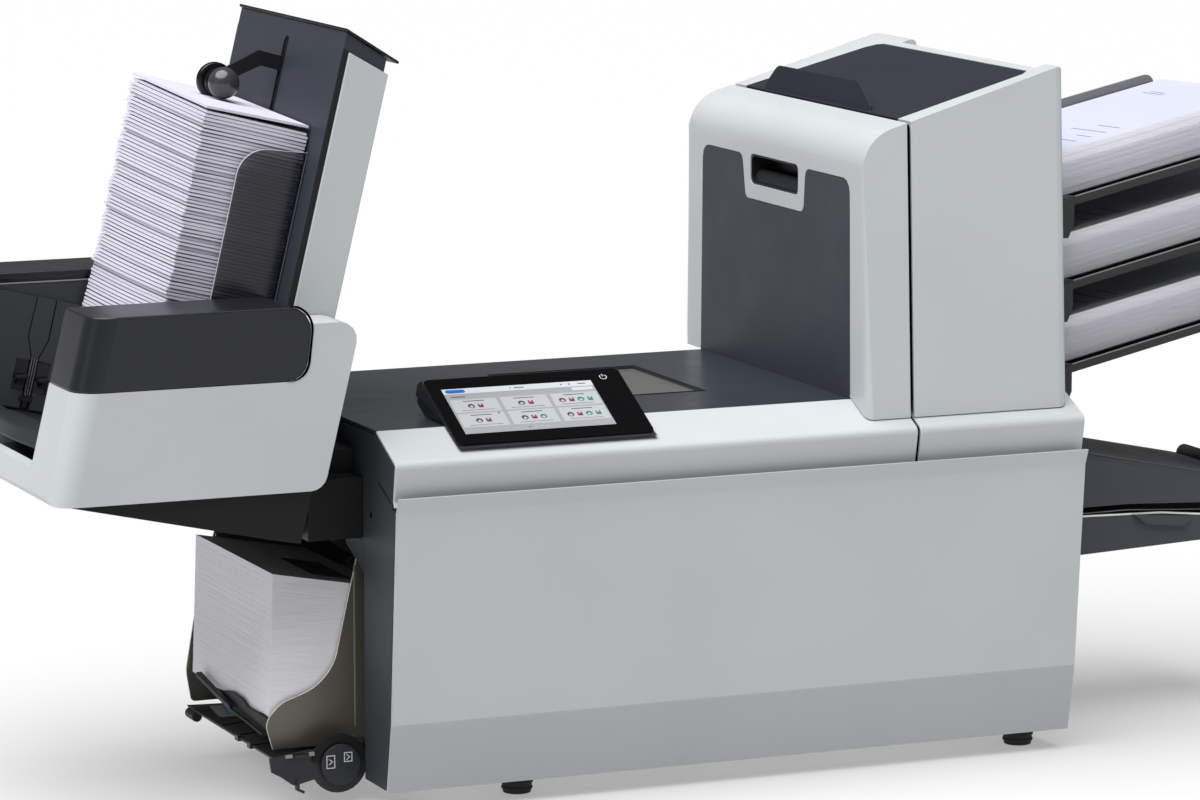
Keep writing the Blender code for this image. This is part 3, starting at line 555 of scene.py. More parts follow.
def make_access_cover():
    """The hinged cover, its upright corners rounded far more than its other edges."""
    bm = clean_copy("access_cover")
    low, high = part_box("access_cover")
    left, near, far = low[0] + 0.0006, low[1] + 0.03, high[1] - 0.03
    corners = []
    for edge in bm.edges:
        ends = [vert.co for vert in edge.verts]
        upright = abs(ends[0].z - ends[1].z) > 0.1
        if upright and all(co.x < left and not near < co.y < far for co in ends):
            corners.append(edge)
    bmesh.ops.bevel(bm, geom=corners, offset=0.0075, segments=8, affect="EDGES", profile=0.5)
    piece = finished("access_cover_eased", bm, "light", "access")
    round_edges(piece, 1)
    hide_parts("access_cover")
    (face, y0, foot), (_, y1, _) = span("access_insert")
    sill = box(face - 0.2, face + 1, y0, y1, low[2] / MM + 0.1, foot + 1)
    built("insert_sill", sill, "slate", "access")


# ---- piles of envelopes and paper
def add_layer(bm, place, across, along, thickness):
    """A closed layer: place(b, a, height) puts it, b across and a along, each from 0 to 1."""
    grid = {}
    for row in range(across + 1):
        for column in range(along + 1):
            b, a = row / across, column / along
            grid[row, column] = [bm.verts.new(place(b, a, high)) for high in (0, thickness(b, a))]
    for row in range(across):
        for column in range(along):
            corners = [grid[key] for key in rect(row, row + 1, column, column + 1)]
            bm.faces.new([high for low, high in corners])
            bm.faces.new([low for low, high in reversed(corners)])
    rim = [(row, 0) for row in range(across + 1)]
    rim += [(across, column) for column in range(1, along + 1)]
    rim += [(row, along) for row in range(across - 1, -1, -1)]
    rim += [(0, column) for column in range(along - 1, 0, -1)]
    for index, key in enumerate(rim):
        low, high = grid[key]
        next_low, next_high = grid[rim[(index + 1) % len(rim)]]
        bm.faces.new((low, next_low, next_high, high))


UPPER_U = (-612.8, -513.8)
UPPER_W = (190.6, 507.5)
UPPER_COUNT = 98
PILE_Y = (120, 336)
UPPER_BACK = 340


def make_upper_envelopes():
    """The stacked envelopes, filled and so thicker in the middle than at the ends."""
    chance = random.Random(11)
    bm = bmesh.new()
    pitch = (UPPER_W[1] - UPPER_W[0]) / UPPER_COUNT
    for number in range(UPPER_COUNT):
        share = number / (UPPER_COUNT - 1)
        base = UPPER_W[0] + number * pitch
        left = UPPER_U[0] + chance.uniform(-1.8, 0.9)
        right = UPPER_U[1] - chance.uniform(0, 1.6)
        front = PILE_Y[0] + chance.uniform(-0.9, 1.5)
        back = UPPER_BACK + chance.uniform(-2.2, 1.6)
        skew = chance.uniform(-0.7, 0.7)
        full = pitch * chance.uniform(0.76, 0.96)
        droop = chance.uniform(-0.25, 0.25)
        top = number == UPPER_COUNT - 1

        def place(b, a, height):
            u = left + (right - left) * b + skew * (a - 0.5)
            sag = 1.6 * (1 - share) * ((2 * a - 1) ** 2 - 1)
            swell = share * (10.5 * a - 1.5 * b) + sag + droop * (2 * b - 1)
            if top:
                swell += 2.6 * b * (1 - a) + 1.2
            x, z = leaned(u, base + swell + height)
            return (x, front + (back - front) * a, z)

        def thickness(b, a):
            end = abs(2 * a - 1) ** 10
            side = abs(2 * b - 1) ** 6
            return full * (1 - 0.1 * end - 0.12 * side)

        add_layer(bm, place, 4, 10, thickness)
    piece = finished("upper_envelope_pile", in_frame(bm), "envelope")
    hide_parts("upper_envelopes")


LOWER_LAYERS = 112
LOWER_RUN = 109
LOWER_LEFT = (-425, -420)
LOWER_Z = (77, 210)
LOWER_DROP = tan(radians(10.6))


def make_lower_envelopes():
    """The empty envelopes waiting in the hopper, in thin groups."""
    chance = random.Random(23)
    bm = bmesh.new()
    pitch = (LOWER_Z[1] - LOWER_Z[0]) / LOWER_LAYERS
    for number in range(LOWER_LAYERS):
        share = number / (LOWER_LAYERS - 1)
        base = LOWER_Z[0] + number * pitch
        left = LOWER_LEFT[0] + (LOWER_LEFT[1] - LOWER_LEFT[0]) * share + chance.uniform(-0.07, 0.06)
        front = PILE_Y[0] + chance.uniform(-0.08, 0.08)
        back = PILE_Y[1] + chance.uniform(-0.5, 0.5)
        wave = (1 - share) ** 3
        full = pitch * chance.uniform(0.95, 0.995)

        def place(b, a, height):
            lift = wave * (1 - b) * 1.8 * sin(2 * pi * (2.2 * a + 0.1))
            z = base - LOWER_RUN * b * LOWER_DROP + max(lift, 0) + height
            return (left + LOWER_RUN * b, front + (back - front) * a, z)

        add_layer(bm, place, 3, 12, lambda b, a: full)
    piece = finished("lower_envelope_pile", in_frame(bm), "envelope_fine")
    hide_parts("lower_envelopes")
    x0, x1 = [LOWER_LEFT[1] + LOWER_RUN * share for share in (0.45, 0.8)]
    window = sheet(rect(x0, x1, 150, 240), lambda x, y: LOWER_Z[1] - (x - LOWER_LEFT[1]) * LOWER_DROP,
                   0.05, 0.17)
    built("envelope_window", window, "film")


TRAY_TILT = radians(12.5)
TRAY_FALL = 0.038
TRAY_PITCH = 80.7
TRAY_HEIGHT = 357.6
TRAY_X = 392
PAPER_X = (314, 604)
PAPER_Y = (123, 333)
PAPER_HIGH = 43
PAPER_LAYERS = 16


def tray_z(index, x, y=PAPER_Y[0]):
    """Height of the upper face of a tray's plate, counted from the lowest tray."""
    rise = (x - TRAY_X) * tan(TRAY_TILT) - (y - PAPER_Y[0]) * TRAY_FALL
    return TRAY_HEIGHT + index * TRAY_PITCH + rise


def make_paper_stacks():
    for index in range(3):
        chance = random.Random(40 + index)
        bm = bmesh.new()
        pitch = (PAPER_HIGH - 0.5) / PAPER_LAYERS
        for number in range(PAPER_LAYERS):
            base = 0.5 + number * pitch
            left = PAPER_X[0] + chance.uniform(-0.6, 0.6)
            right = PAPER_X[1] + chance.uniform(-0.8, 0.5)
            front = PAPER_Y[0] + chance.uniform(-0.25, 0.35)
            back = PAPER_Y[1] + chance.uniform(-0.35, 0.25)

            def place(b, a, height):
                x, y = left + (right - left) * a, front + (back - front) * b
                return (x, y, tray_z(index, x, y) + base + height)

            add_layer(bm, place, 2, 4, lambda b, a: pitch * 0.985)
        bmesh.ops.reverse_faces(bm, faces=bm.faces)
        # the open top stack's top is painted darker, the shaded lower stacks' tops brighter
        face = "sheet_top" if index == 2 else "sheet_face"
        piece = finished(f"paper_sheets_{index + 1}", in_frame(bm), "paper " + face)
        second_material(piece, lambda polygon: polygon.normal.z > 0.7)
        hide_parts(f"paper_stack_{index + 1}")
        built(f"printed_lines_{index + 1}", printed_lines(index), "print")


def printed_lines(index):
    """Faint ruled lines on the top sheet, standing for print."""
    high = PAPER_HIGH + 0.05
    rows = [(362 + 16 * row, 150, 150 + length)
            for row, length in enumerate((62, 96, 48, 84, 30, 70, 44))]
    rows += [(560, 250, 292), (565, 256, 284)]
    return [sheet(rect(x, x + 1.1, y0, y1), lambda px, py: tray_z(index, px, py), high, high + 0.08)
            for x, y0, y1 in rows]


# ---- touch screen
SCREEN_TILT = radians(27.3)
SCREEN_EDGE = (17, 335)
DISPLAY_X = (-267, -120)
DISPLAY_UP = (15.5, 84)
FIELD, TILE, MARK, SPOT = (0.02, 0.06), (0.06, 0.09), (0.09, 0.11), (0.11, 0.13)  # heights over the glass


def on_glass(x, up, height):
    """A point of the screen: up its face from the lower edge, height above the glass."""
    cosine, sine = cos(SCREEN_TILT), sin(SCREEN_TILT)
    return (x, SCREEN_EDGE[0] + up * cosine - height * sine, SCREEN_EDGE[1] + up * sine + height * cosine)


def glass_patch(outline, low, high):
    return loft([on_glass(x, up, low) for x, up in outline], [on_glass(x, up, high) for x, up in outline])


def on_display(f, g):
    width, height = DISPLAY_X[1] - DISPLAY_X[0], DISPLAY_UP[1] - DISPLAY_UP[0]
    return (DISPLAY_X[0] + f * width, DISPLAY_UP[1] - g * height)


def patch(f0, f1, g0, g1, level, radius=0):
    """A rectangle of the display, f to the right and g down, each from 0 to 1."""
    (x0, up1), (x1, up0) = on_display(f0, g0), on_display(f1, g1)
    outline = rect(x0, x1, up0, up1)
    return glass_patch(rounded(outline, radius, 4) if radius else outline, *level)


def dot(f, g, radius, level):
    x, up = on_display(f, g)
    angles = [2 * pi * step / 20 for step in range(20)]
    return glass_patch([(x + radius * cos(a), up + radius * sin(a)) for a in angles], *level)


def make_display():
    """The lit menu: a bar, a search field and six tiles with plain marks, no lettering."""
    field = [patch(0, 1, 0, 1, FIELD)]
    white = [patch(0, 1, 0, 0.115, TILE), patch(0.845, 0.985, 0.135, 0.2, TILE)]
    tiles, dark, crimson, green, purple = [], [], [], [], []
    columns = ((0.014, 0.32), (0.345, 0.655), (0.68, 0.99))
    rows = ((0.245, 0.53), (0.56, 0.86))
    marks = {(0, 0): (dark, crimson), (0, 1): (dark, crimson), (0, 2): (dark, crimson, green, green),
             (1, 0): (dark, purple), (1, 1): (dark, crimson, green), (1, 2): (dark, purple, green, green)}
    for (row, column), groups in marks.items():
        (f0, f1), (g0, g1) = columns[column], rows[row]
        tiles.append(patch(f0, f1, g0, g1, TILE))
        middle, g = (f0 + f1) / 2, (g0 + g1) / 2 + 0.012
        dark.append(patch(middle - 0.07, middle + 0.07, g0 + 0.035, g0 + 0.05, MARK))
        dark.append(patch(middle - 0.11, middle + 0.11, g1 - 0.045, g1 - 0.037, MARK))
        for place, group in enumerate(groups):
            f = middle + (place - (len(groups) - 1) / 2) * 0.062
            if place % 2 == 0:
                group.append(dot(f, g, 3.3, MARK))
                tiles.append(dot(f, g + 0.012, 1.7, SPOT))
            else:
                group.append(patch(f - 0.017, f + 0.017, g - 0.042, g + 0.042, MARK, 0.8))
                tiles.append(patch(f - 0.006, f + 0.006, g - 0.042, g - 0.008, SPOT))
    blue = [patch(0.018, 0.148, 0.022, 0.098, MARK, 2.4), dot(0.45, 0.055, 0.8, MARK),
            dot(0.79, 0.055, 1, MARK), dot(0.435, 0.932, 0.9, MARK)]
    dark += [patch(0.475, 0.54, 0.048, 0.066, MARK), dot(0.845, 0.055, 1, MARK),
             patch(0.9, 0.955, 0.048, 0.066, MARK), patch(0.035, 0.13, 0.175, 0.193, (0.06, 0.08))]
    crimson.append(dot(0.287, 0.585, 1.1, SPOT))
    tiles += [dot(0.475 + 0.04 * step, 0.932, 0.7, TILE) for step in range(3)]
    built("display_menu", [field, white, tiles, dark, crimson, green, purple, blue], " ".join(LIT))
    x, up, radius = -106, 88, 3.6
    angles = [radians(125 + 290 * step / 24) for step in range(25)]
    arc = [(x + radius * cos(angle), up + radius * sin(angle)) for angle in angles]
    inner = [(x + (px - x) * 0.8, up + (py - up) * 0.8) for px, py in reversed(arc)]
    tick = rect(x - 0.4, x + 0.4, up + 0.6, up + 4.4)
    built("power_mark", [glass_patch(outline, *FIELD) for outline in (arc + inner, tick)], "mark")


# ---- feed tower
def tower_top(x):
    return 604.5 + (x - 172) * 0.2935


def tower_front(z):
    return 16 + (z - 330) * 0.0555


def tower_back(z):
    return 432 - (z - 345) * 0.039


def tower_slab(outline, inset):
    """An XZ outline between the leaning front and back of the tower, drawn in by inset."""
    return loft([(x, tower_front(z) + inset, z) for x, z in outline],
                [(x, tower_back(z) - inset, z) for x, z in outline])


def make_tower_frame():
    """The inner frame behind the seam of the hinged cover, painted near-black as the shade inside the seam,
    with its feed rollers.
    """
    left, seam, floor = 164, 178.5, 348.5
    wall = [(176, floor), (seam, floor), (seam, tower_top(seam) - 4.2), (176, tower_top(176) - 4.2)]
    flange = [(x, tower_top(x) - gap) for x, gap in ((left, 4.6), (seam, 4.6), (seam, 3.7), (left, 3.7))]
    strip = [(left, floor), (seam, floor), (seam, 598), (left, 596)]
    edges = [loft(*[[(x, face(z) + inset, z) for x, z in strip] for inset in insets])
             for face, insets in ((tower_front, (3.7, 4.7)), (tower_back, (-4.7, -3.7)))]
    built("tower_frame", [tower_slab(wall, 3.7), tower_slab(flange, 3.7)] + edges, "gutter", width=0.2)
    shafts, wheels, brackets = [], [], []
    for z in (395, 455, 575):
        centre = (163, z)
        shafts.append(disc("y", centre, 3, 52, 402, 20))
        for y in (120, 176, 264, 320):
            wheels.append(lathe("y", centre, ((y, 8), (y + 1, 9), (y + 15, 9), (y + 16, 8)), 32))
        for y in (50, 400):
            plate = rounded([(156, z - 9), (175.8, z - 13), (175.8, z + 13), (156, z + 9)], {0: 6, 3: 6}, 4)
            brackets.append(prism(plate, "y", y, y + 2.5))
    built("tower_feed_shafts", [shafts, wheels, brackets], "shaft rubber steel", width=0.3)


def make_cover_seam_shade():
    """A near-black strip behind the seam of the front covers, painted shade that closes it."""
    outer = [(11.6, 284.6), (12.2, 289.6), (6.8, 321.4), (52.5, 343.2), (52.5, 342), (8.2, 320.8),
             (13.6, 289.6), (13, 284.6)]
    built("cover_seam_shade", prism(outer, "x", 164, 181), "gutter")


# ---- envelope stacker
def slanted(outline, low, high):
    """A plate between two y places, its outline given in the stacker's u and w."""
    return prism([leaned(u, w) for u, w in outline], "y", low, high)


def slanted_box(u0, u1, w0, w1, low, high):
    return slanted(rect(u0, u1, w0, w1), low, high)


def make_stacker_plates():
    """The well's side plates: three fields parted by grooves, two pockets and their hooks."""
    top, face = 296.6, 344
    low, high = 208, 237.5
    pockets = (a0, a1), (b0, b1) = ((-664.8, -652.2), (-642.6, -630.8))
    left = [(-698, 206), (-698, top), (-657.7, top), (-658.6, 259.5), (-651.3, 239.8), (-652.3, high),
            (a0, high), (a0, low), (a1, low), (a1, 192), (-685, 192)]
    middle = [(-656.6, top), (-657.5, 259.7), (-649.8, 239.2), (-645.4, 238.2), (-638.7, 257.6), (-639, top)]
    right = [(-637.4, top), (-637.2, 258.4), (-643.8, 238.6), (b1, high), (b1, low), (b0, low), (b0, 192),
             (-516, 192), (-516, top)]
    fields = [slanted(outline, face - 1.8, face - 0.05) for outline in (left, middle, right)]
    # near-black sheets in the pockets and the cross, painted shade in the openings
    pocket_shades = [slanted_box(u0, u1, low, high, face - 0.4, face - 0.06) for u0, u1 in pockets]
    cross = [slanted_box(-655, -641, 199, 204, face - 2.1, face - 1.7),
             slanted_box(-650.5, -645.5, 193, 210, face - 2.2, face - 1.7)]
    hooks = []
    for u0, u1 in pockets:
        long, short = [[(u0 + 2, 219), (u1 - 1, 221.5), (u1, 224), (u0 + 1, 221.5)],
                       [(u0 + 5, 214), (u0 + 9, 213), (u0 + 11, 221), (u0 + 6, 221)]]
        hooks += [slanted(long, face - 11, face - 0.4), slanted(short, face - 7, face - 1)]
    bars = [slanted_box(u, u + 0.9, 205, 240, face - 3, face - 2) for u in (-650.6, -648.2, -645.8)]
    groups = [group + [mirrored(part) for part in group] for group in (fields, pocket_shades + cross, hooks, bars)]
    built("stacker_side_plates", groups, "plate gloss_black black steel_dark", width=0.25)
    # the second liner is near-black, painted shade in a gap, and the third a pale strip painted as a
    # highlight along an edge
    liners = (([(-627.3, 408), (-615.6, 456.6), (-512, 456.6), (-512, 408)], 347.15, 347.9),
              ([(-613.5, 457.6), (-612.5, 461), (-420, 461), (-420, 457.6)], 347.5, 347.95),
              ([(-615.2, 455.6), (-615, 456.8), (-512, 456.8), (-512, 455.6)], 346.6, 347.3))
    built("stacker_liners", [both(prism(outline, "y", y0, y1)) for outline, y0, y1 in liners],
          "plate gloss_black edge_grey", width=0.2)


def make_stacker_shelf():
    """The shelf's rounded front lip and the pan with its small lifting loop below it."""
    y0, y1 = 112.5, 343.5
    outline = rounded([(-640, y0), (-684, y0 + 3), (-702, MIDDLE), (-684, y1 - 3), (-640, y1)],
                      {1: 22, 2: 260, 3: 22}, 8)
    lip = [[leaned_at(u, w, y) for u, y in outline] for w in (175, 189.6)]
    built("shelf_lip", loft(*lip), "dark", width=2.2, segments=4)
    pan = box(-634, -560, y0, y1, 306.3, 308.5)
    turns = [pi * step / 12 for step in range(13)]
    loop = [(-588, 312 - 14 * cos(turn), 308.5 + 9 * sin(turn)) for turn in turns]
    built("well_pan", [pan, tube(loop, 1.7)], "pan black", width=0.4)


def make_stacker_guide():
    """The smoked side guide, its cut edge painted pale as a highlight."""
    corners = [leaned(u, w) for u, w in ((-513.5, 179), (-513.5, 485), (-575.4, 478), (-573, 179))]
    plate = prism(rounded(corners, {2: 27}, 10), "y", 114, 116)
    piece = built("stacker_guide_plate", [plate], "smoked guide_edge")
    second_material(piece, is_cut_edge)
    round_edges(piece, 0.25, 1)
    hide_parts("stacker_guide")


def leaned_at(u, w, y):
    x, z = leaned(u, w)
    return (x, y, z)


def make_stacker_column_trim():
    """The dark band beside the column's light panel, and the guide slot's lining."""
    foot = 437.4
    tops = [leaned(-512.2, 583), leaned(-507.1, 582)]
    feet = [(x - (z - foot) * tan(LEAN), foot) for x, z in tops]
    strip = prism([feet[0], *tops, feet[1]], "y", 85.55, 85.95)
    lining = [slanted_box(-513.1, -512.35, 352, 580, y, y + 0.75) for y in (228.2, 236.05)]
    built("column_trim", both(strip) + lining, "black")


CAP_TOP = 466
CAP_BOTTOM = 400.2


def cap_end(grow):
    """The right end of a cap, from its top to its bottom, grown outwards."""
    corners = [(-470, CAP_TOP + grow), (-411 + grow, CAP_TOP + grow), (-418.9 + grow, CAP_BOTTOM - grow),
               (-470, CAP_BOTTOM - grow)]
    return rounded(corners, {1: 20 + grow, 2: 19.6 + grow}, 10)


def make_cap_gap_shades():
    """Painted shade: a near-black strip in the gap round the right end of each cap."""
    inner, outer = [[point for point in cap_end(grow) if point[0] > -445] for grow in (0.25, 2.4)]
    last = len(outer) - 1
    faded = []
    for index, (near, far) in enumerate(zip(inner, outer)):
        share = min(1, (last - index + 0.4) / 6, (index + 0.4) / 2)
        faded.append(tuple(Vector(near).lerp(Vector(far), share)))
    built("cap_gap_shades", both(prism(faded + list(reversed(inner)), "y", 29.5, 29.95)), "gutter")


BALL_AT = (-429, 647.5)


def make_stacker_roller():
    """The retaining ball and its disc, turned finely."""
    y, radius = 215, 14.5
    turns = [pi * step / 20 for step in range(1, 20)]
    ball = [(y - radius * cos(turn), radius * sin(turn)) for turn in turns]
    wheel = [(236.6, 13.5), (237.2, 16.2), (238.4, 17), (239.6, 17), (240, 16), (241, 16),
             (241.4, 17), (242.8, 17), (244, 16.2), (244.4, 13.5)]
    collar = lathe("y", BALL_AT, ((227, 12.2), (227.6, 13.4), (229.6, 13.4), (230.2, 12.2)), 40)
    parts = [lathe("y", BALL_AT, ball, 56), [lathe("y", BALL_AT, wheel, 56), collar],
             disc("y", BALL_AT, 2.5, 226, 241, 24)]
    piece = built("stacker_roller_turned", parts, "ball gloss_black shaft", "arm_roller")
    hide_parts("stacker_roller")


# ---- envelope hopper
def make_hopper_guides():
    """The bent metal side guides, their cut edges painted pale: the bare metal's own brightness with a
    painted highlight.
    """
    front = rounded([(-302, 222), (-341, 222), (-363.5, 122.5), (-382, 102.5), (-415, 91.5), (-431, 75),
                     (-423.5, 49), (-302, 49)], {2: 45, 3: 50, 4: 30, 5: 16}, 8)
    rear = rounded([(-262, 178), (-287, 195), (-330, 222), (-398, 222), (-422, 128), (-430.5, 79),
                    (-425.5, 49), (-302, 49), (-302, 150)], {3: 20, 4: 60, 5: 35, 6: 5}, 8)
    rails = [box(-400, -310, 337.5, 339.6, z, z + 3) for z in (206, 214)]
    sheets = {"front": [prism(front, "y", 114.5, 116.5)], "rear": [prism(rear, "y", 339.5, 341.5)] + rails}
    for side, parts in sheets.items():
        node = "hopper_guide_" + side
        piece = built(node + "_sheet", [parts], "gunmetal bright_edge", "hopper_" + side)
        second_material(piece, is_cut_edge)
        round_edges(piece, 0.35, 2)
        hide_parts(node)
    # a pale strip painted as the highlight on the guide's fold
    built("guide_fold_highlight", box(-344.6, -342.8, 113.9, 114.45, 64, 214), "gunmetal_light", "hopper_front", 0.2)
    # near-black strips painted as shade in the slots, pale lines painted as highlights along their edges
    slot_shades, lines = [], []
    for z in (181.5, 174):
        slot = ((-301, z), (-301, z - 4.4), (-266.5, z - 23.6), (-266.5, z - 19.2))
        slot_shades.append(prism(slot, "y", 339, 339.42))
        for foot in (z, z - 4.6):
            line = ((-302, foot + 0.5), (-302, foot), (-266, foot - 19.4), (-266, foot - 18.9))
            lines.append(prism(line, "y", 338.6, 339.4))
    built("rear_guide_slots", [slot_shades, lines], "gloss_black gunmetal_light", "hopper_rear")


def make_hopper_front():
    """The arch over the dial, the plate's small stops and the dial's two marks."""
    centre = (-369, 37)
    arch = ring("y", centre, 19.8, 27.2, 86.6, 87.9, 8, 172)
    back = ring("y", centre, 1, 27.1, 91.1, 92.4, 8, 172)
    built("dial_arch", [arch, back], "deep_black", width=0.4)
    light = [box(-421.5, -414.5, 85.6, 87.9, 46.4, 49.6), box(-399, -393.5, 85.6, 87.9, 46.8, 50.6)]
    # the dark box between the stops is painted shade in the slot between them
    dark = box(-413, -401, 85.2, 87.9, 45.6, 49.2)
    knob_at = (-348, 55.5)
    knob = [disc("y", knob_at, 4.6, 90, 96, 28), disc("y", knob_at, 2, 88.2, 90, 20)]
    built("hopper_stops", [light, dark, knob], "gunmetal_light gloss_black dark", width=0.4)
    marks = []
    for x0, x1, z0, z1 in ((-383.3, -375, 34.2, 46.4), (-366.4, -358.4, 39.2, 48.2)):
        middle = (z0 + z1) / 2
        chevron = ((x0 + 2, middle + 2.6), (x0 + 3, middle + 2.6), (x1 - 2, middle), (x0 + 3, middle - 2.6),
                   (x0 + 2, middle - 2.6), (x1 - 3.2, middle))
        marks += [*border(x0, x1, z0, z1, 0.8), chevron]
    built("dial_marks", [prism(mark, "y", 82.82, 83) for mark in marks], "mark", "dial")


def tray_top(x, y):
    """Height of the hopper tray's upper face, the same at every y."""
    return 46 - (x + 430) * 4.5 / 134


def make_hopper_tray():
    """What lies on the hopper tray: pad, label, cross ribs and the feed deck's lip."""
    pad = rounded([(-419, 276), (-393, 276), (-386, 328), (-412, 328)], 5, 4)
    label = rounded([(-408.5, 287), (-391.5, 286.5), (-384, 317), (-399.5, 327)], 1.5, 3)
    stripes = [[(x, y), (x + 11.5, y), (x + 12.1, y + 2.2), (x + 0.6, y + 2.2)]
               for y, x in ((293, -404.5), (300, -402.6), (307, -400.7))]
    ribs = [((-429, 240.5), (-397, 255), (-397, 256.4), (-429, 242)),
            ((-427.5, 197), (-398, 209.5), (-398, 211), (-427.5, 198.6)),
            ((-428, 152), (-405, 158), (-405, 159.4), (-428, 153.5))]
    layers = (([pad], 0.1, 0.9), ([label], 0.9, 1.15), (stripes, 1.15, 1.25), (ribs, 0.05, 0.9))
    groups = [[sheet(outline, tray_top, *rise) for outline in outlines] for outlines, *rise in layers]
    groups[-1] += [box(-431, -427.4, y, y + 9, 41.8, 46.7) for y in (156, 190)]
    built("hopper_tray_fittings", groups, "pad label_blue label_pale gloss_black", width=0.15)
    lip = [(243, 76), (240, 79.5), (228, 82), (210, 84.3), (184, 83.3), (170, 78.8), (148, 78.6),
           (118, 77.8), (118, 62), (160, 66), (204, 69.5), (236, 73)]
    built("feed_deck_lip", prism(lip, "x", -428.4, -426.2), "deep_black", width=0.5)
    bar = [(-431, 119, 63), (-431.5, 160, 66.5), (-432, 204.5, 69.6)]
    built("lever_bracket", tube(bar, 1.8, 12), "deep_black")


def make_end_cover_details():
    """The left end cover's gusset, screw hole and slanting seam."""
    skin = (-345.25, -344.95)
    gusset = prism(((86.4, 241.2), (135, 241.2), (132, 231.5), (86.4, 213)), "x", -344.9, -342.2)
    # the screw hole: a near-black disc, painted shade in the hole
    hole = disc("x", (66, 268.2), 3, *skin, 24)
    seam = prism([(14.4, 286.2), (14.4, 287.6), (46.2, 301.8), (46.8, 300.6)], "x", *skin)
    built("end_cover_details", [gusset, [hole, seam]], "slate_side gloss_black")


# ---- insert feeder, feet, deck
def feeder_top(x, y):
    """Height of the feeder's upper face, the same at every y."""
    return 263.6 - 0.207 * (x - 419.2)


def make_feeder_body():
    """The feeder's fixed lower half with the tab below its slot."""
    body = prism([(347, 162), (640, 174.5), (640, 192.6), (542, 196.6), (498, 201.1), (414, 203.2),
                  (347, 198.5)], "y", 128, 328)
    tab = rounded([(465, 201), (480, 190.5), (522, 186.5), (530, 195)], {1: 14, 2: 6})
    piece = built("feeder_lower_shell", [body, prism(tab, "y", 123, 129.5)], "feeder", width=1)
    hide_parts("feeder_lower")


SLOT_EDGE = ((352, 199), (414, 203.4), (498, 201.3), (542, 196.8), (636, 192.9))


def make_feeder_details():
    """Pale strips painted as highlights along the feeder's top edges and its slot's edge, and the slot's
    lining.
    """
    edges = [sheet(rect(372, 618, y, y + 0.9), feeder_top, -0.1, 0.12) for y in (132.2, 323)]
    built("feeder_top_edge_highlights", edges, "edge_grey", "feeder_table")
    strip = [(x, z - 1.4) for x, z in SLOT_EDGE] + [(x, z + 0.3) for x, z in reversed(SLOT_EDGE)]
    # a pale strip painted as a highlight along the slot's edge
    built("feeder_slot_edge_highlight", prism(strip, "y", 127.7, 128.3), "bright_edge")
    lining = prism([(352, 200.4), (414, 205.2), (462, 205.6), (540, 200.6), (600, 196.6), (600, 196),
                    (540, 200), (462, 204.6), (414, 204.2), (352, 199.4)], "y", 132, 324)
    built("feeder_slot_lining", lining, "steel_dark")


def make_tray_edges():
    """Painted shade on the ledge along the front of each tray, and a pale strip painted as a highlight on
    the flange's edge.
    """
    for index in range(3):
        strips = [sheet(rect(386, 630, y0, y1), lambda x, y: tray_z(index, x, y), low, high)
                  for y0, y1, low, high in ((104.9, 106.4, -0.9, 0.12), (106.6, 121.8, 0.02, 0.12))]
        built(f"tray_edges_{index + 1}", strips, "edge_grey gutter")


def make_handle_roll():
    """The rounded grip along the hinged cover's handle."""
    turns = [pi * (step / 12 - 0.5) for step in range(13)]
    outline = [(125.1 + 12.8 - 8.6 * cos(turn), 526.2 + 11.5 * sin(turn)) for turn in turns]
    (_, y0, _), (_, y1, _) = span("handle_cup")
    # the roll takes the slate's darker copy, painted shade
    built("handle_roll", prism(outline, "y", y0 + 0.6, y1 - 0.6), "lid", "access", 0.4)


FEET = ((-203, 69), (313, 69), (-203, 387), (313, 387))


def make_foot_ribs():
    collars = []
    for centre in FEET:
        for z, radius in ((3, 13.4), (9, 14)):
            profile = [(z + rise, radius + swell)
                       for rise, swell in ((0, 0), (0.6, 0.9), (2.4, 1.1), (3, 0.4))]
            collars.append(lathe("z", centre, profile, 36))
    built("foot_ribs", collars, "rubber")


def make_deck_details():
    """The dark lip round the deck's window."""
    bars = border(-131.8, 20.8, 148.2, 316.8, 1.7)
    built("window_lip", [prism(bar, "z", DECK_Z + 0.02, DECK_Z + 0.6) for bar in bars], "black")


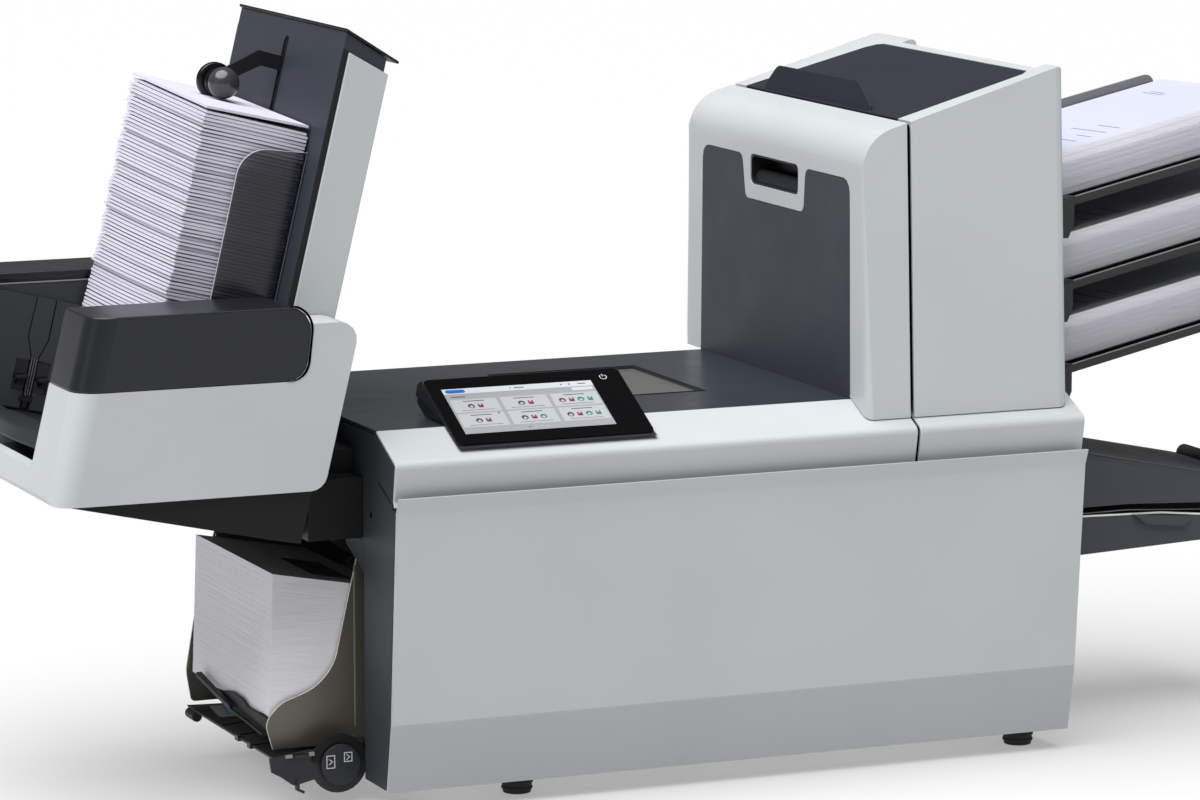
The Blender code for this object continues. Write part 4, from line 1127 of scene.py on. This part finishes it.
# ---- back and inside
def make_back_details():
    """Louvred vents, screws and the inlet's pins at the back."""
    back, low, high = 432, 190, 262
    slot_shades, louvres = [], []
    for x in [first + number * 14 for first in (-300, 60) for number in range(12)]:
        # near-black raised patches, painted shade in the vent slots
        slot_shades.append(prism(rounded(rect(x, x + 6, low, high), 2.9, 4), "y", back + 0.02, back + 0.22))
        louvre = ((x + 6.6, back + 0.02), (x + 8.6, back + 1.6), (x + 9.8, back + 0.02))
        louvres.append(prism(louvre, "z", low, high))
    built("rear_vents", [slot_shades, louvres], "gloss_black slate")
    places = [(-330, 40), (-330, 300), (330, 40), (330, 300), (0, 40), (0, 300), (-165, 300), (165, 300)]
    head = ((back + 0.02, 5.2), (back + 1.2, 5.2), (back + 1.9, 4))
    built("rear_screws", [lathe("y", place, head, 28) for place in places], "shaft", width=0.1)
    pins = [box(x - 1.1, x + 1.1, 413.2, 424, 71, 78) for x in (249.5, 256, 262.5)]
    built("inlet_pins", pins, "shaft", width=0.2)
    bars = [box(294.5, 300.5, 432.6, 433.3, 78.6, 79.6), box(294.5, 300.5, 431.4, 431.95, 67.4, 68.4)]
    built("switch_marks", bars, "mark", "switch_rocker")


def gear(centre, teeth, outer, low, high, phase):
    """A spur gear, each tooth made of five points."""
    root = outer - 2.6
    profile = ((0, root), (0.22, root), (0.36, outer), (0.62, outer), (0.78, root))
    points = []
    for tooth in range(teeth):
        for share, radius in profile:
            angle = 2 * pi * (tooth + share + phase) / teeth
            points.append((centre[0] + radius * cos(angle), centre[1] + radius * sin(angle)))
    return prism(points, "y", low, high)


def make_inside():
    """Gears on the fold rollers, a knob on the feed roller, and the chassis plate's screws."""
    rollers = {"upper_roller": (60, 205), "lower_roller": (60, 174.4)}
    for number, (body, centre) in enumerate(rollers.items()):
        wheel = gear(centre, 18, 16.4, 34.5, 40.8, 0.5 * number)
        hub = lathe("y", centre, ((30.5, 5.5), (31.2, 6.4), (34.6, 6.4)), 28)
        built(body + "_gear", [wheel, hub], "nylon", body, 0.2)
    centre = (-180, 205)
    knob = lathe("y", centre, ((27, 14), (28, 15.5), (38, 15.5), (39, 14)), 20)
    cap = disc("y", centre, 6, 25.8, 27.2, 28)
    built("feed_knob", [knob, cap], "green_knob dark", "feed_shaft", 0.5)
    head = ((41.4, 3.4), (42.4, 4.4), (43.9, 4.4))
    screws = [lathe("y", (x, z), head, 24) for x in (-270, -110, 0, 130, 250, 315) for z in (60, 285)]
    built("chassis_screws", screws, "shaft")
    rails = [box(-285, 330, 41, 43.9, z, z + 9) for z in (120, 244)]
    built("chassis_stiffeners", rails, "steel", width=0.8)


bpy.context.scene.view_settings.view_transform = "Standard"
for step in (add_camera, add_studio, make_materials, ease_everything, make_access_cover,
             make_upper_envelopes, make_lower_envelopes, make_paper_stacks, make_display, make_tower_frame,
             make_cover_seam_shade, make_stacker_plates, make_stacker_shelf, make_stacker_column_trim,
             make_cap_gap_shades, make_stacker_roller, make_stacker_guide, make_hopper_guides,
             make_hopper_front, make_hopper_tray, make_end_cover_details, make_feeder_body,
             make_feeder_details, make_tray_edges, make_handle_roll, make_foot_ribs, make_deck_details,
             make_back_details, make_inside):
    step()
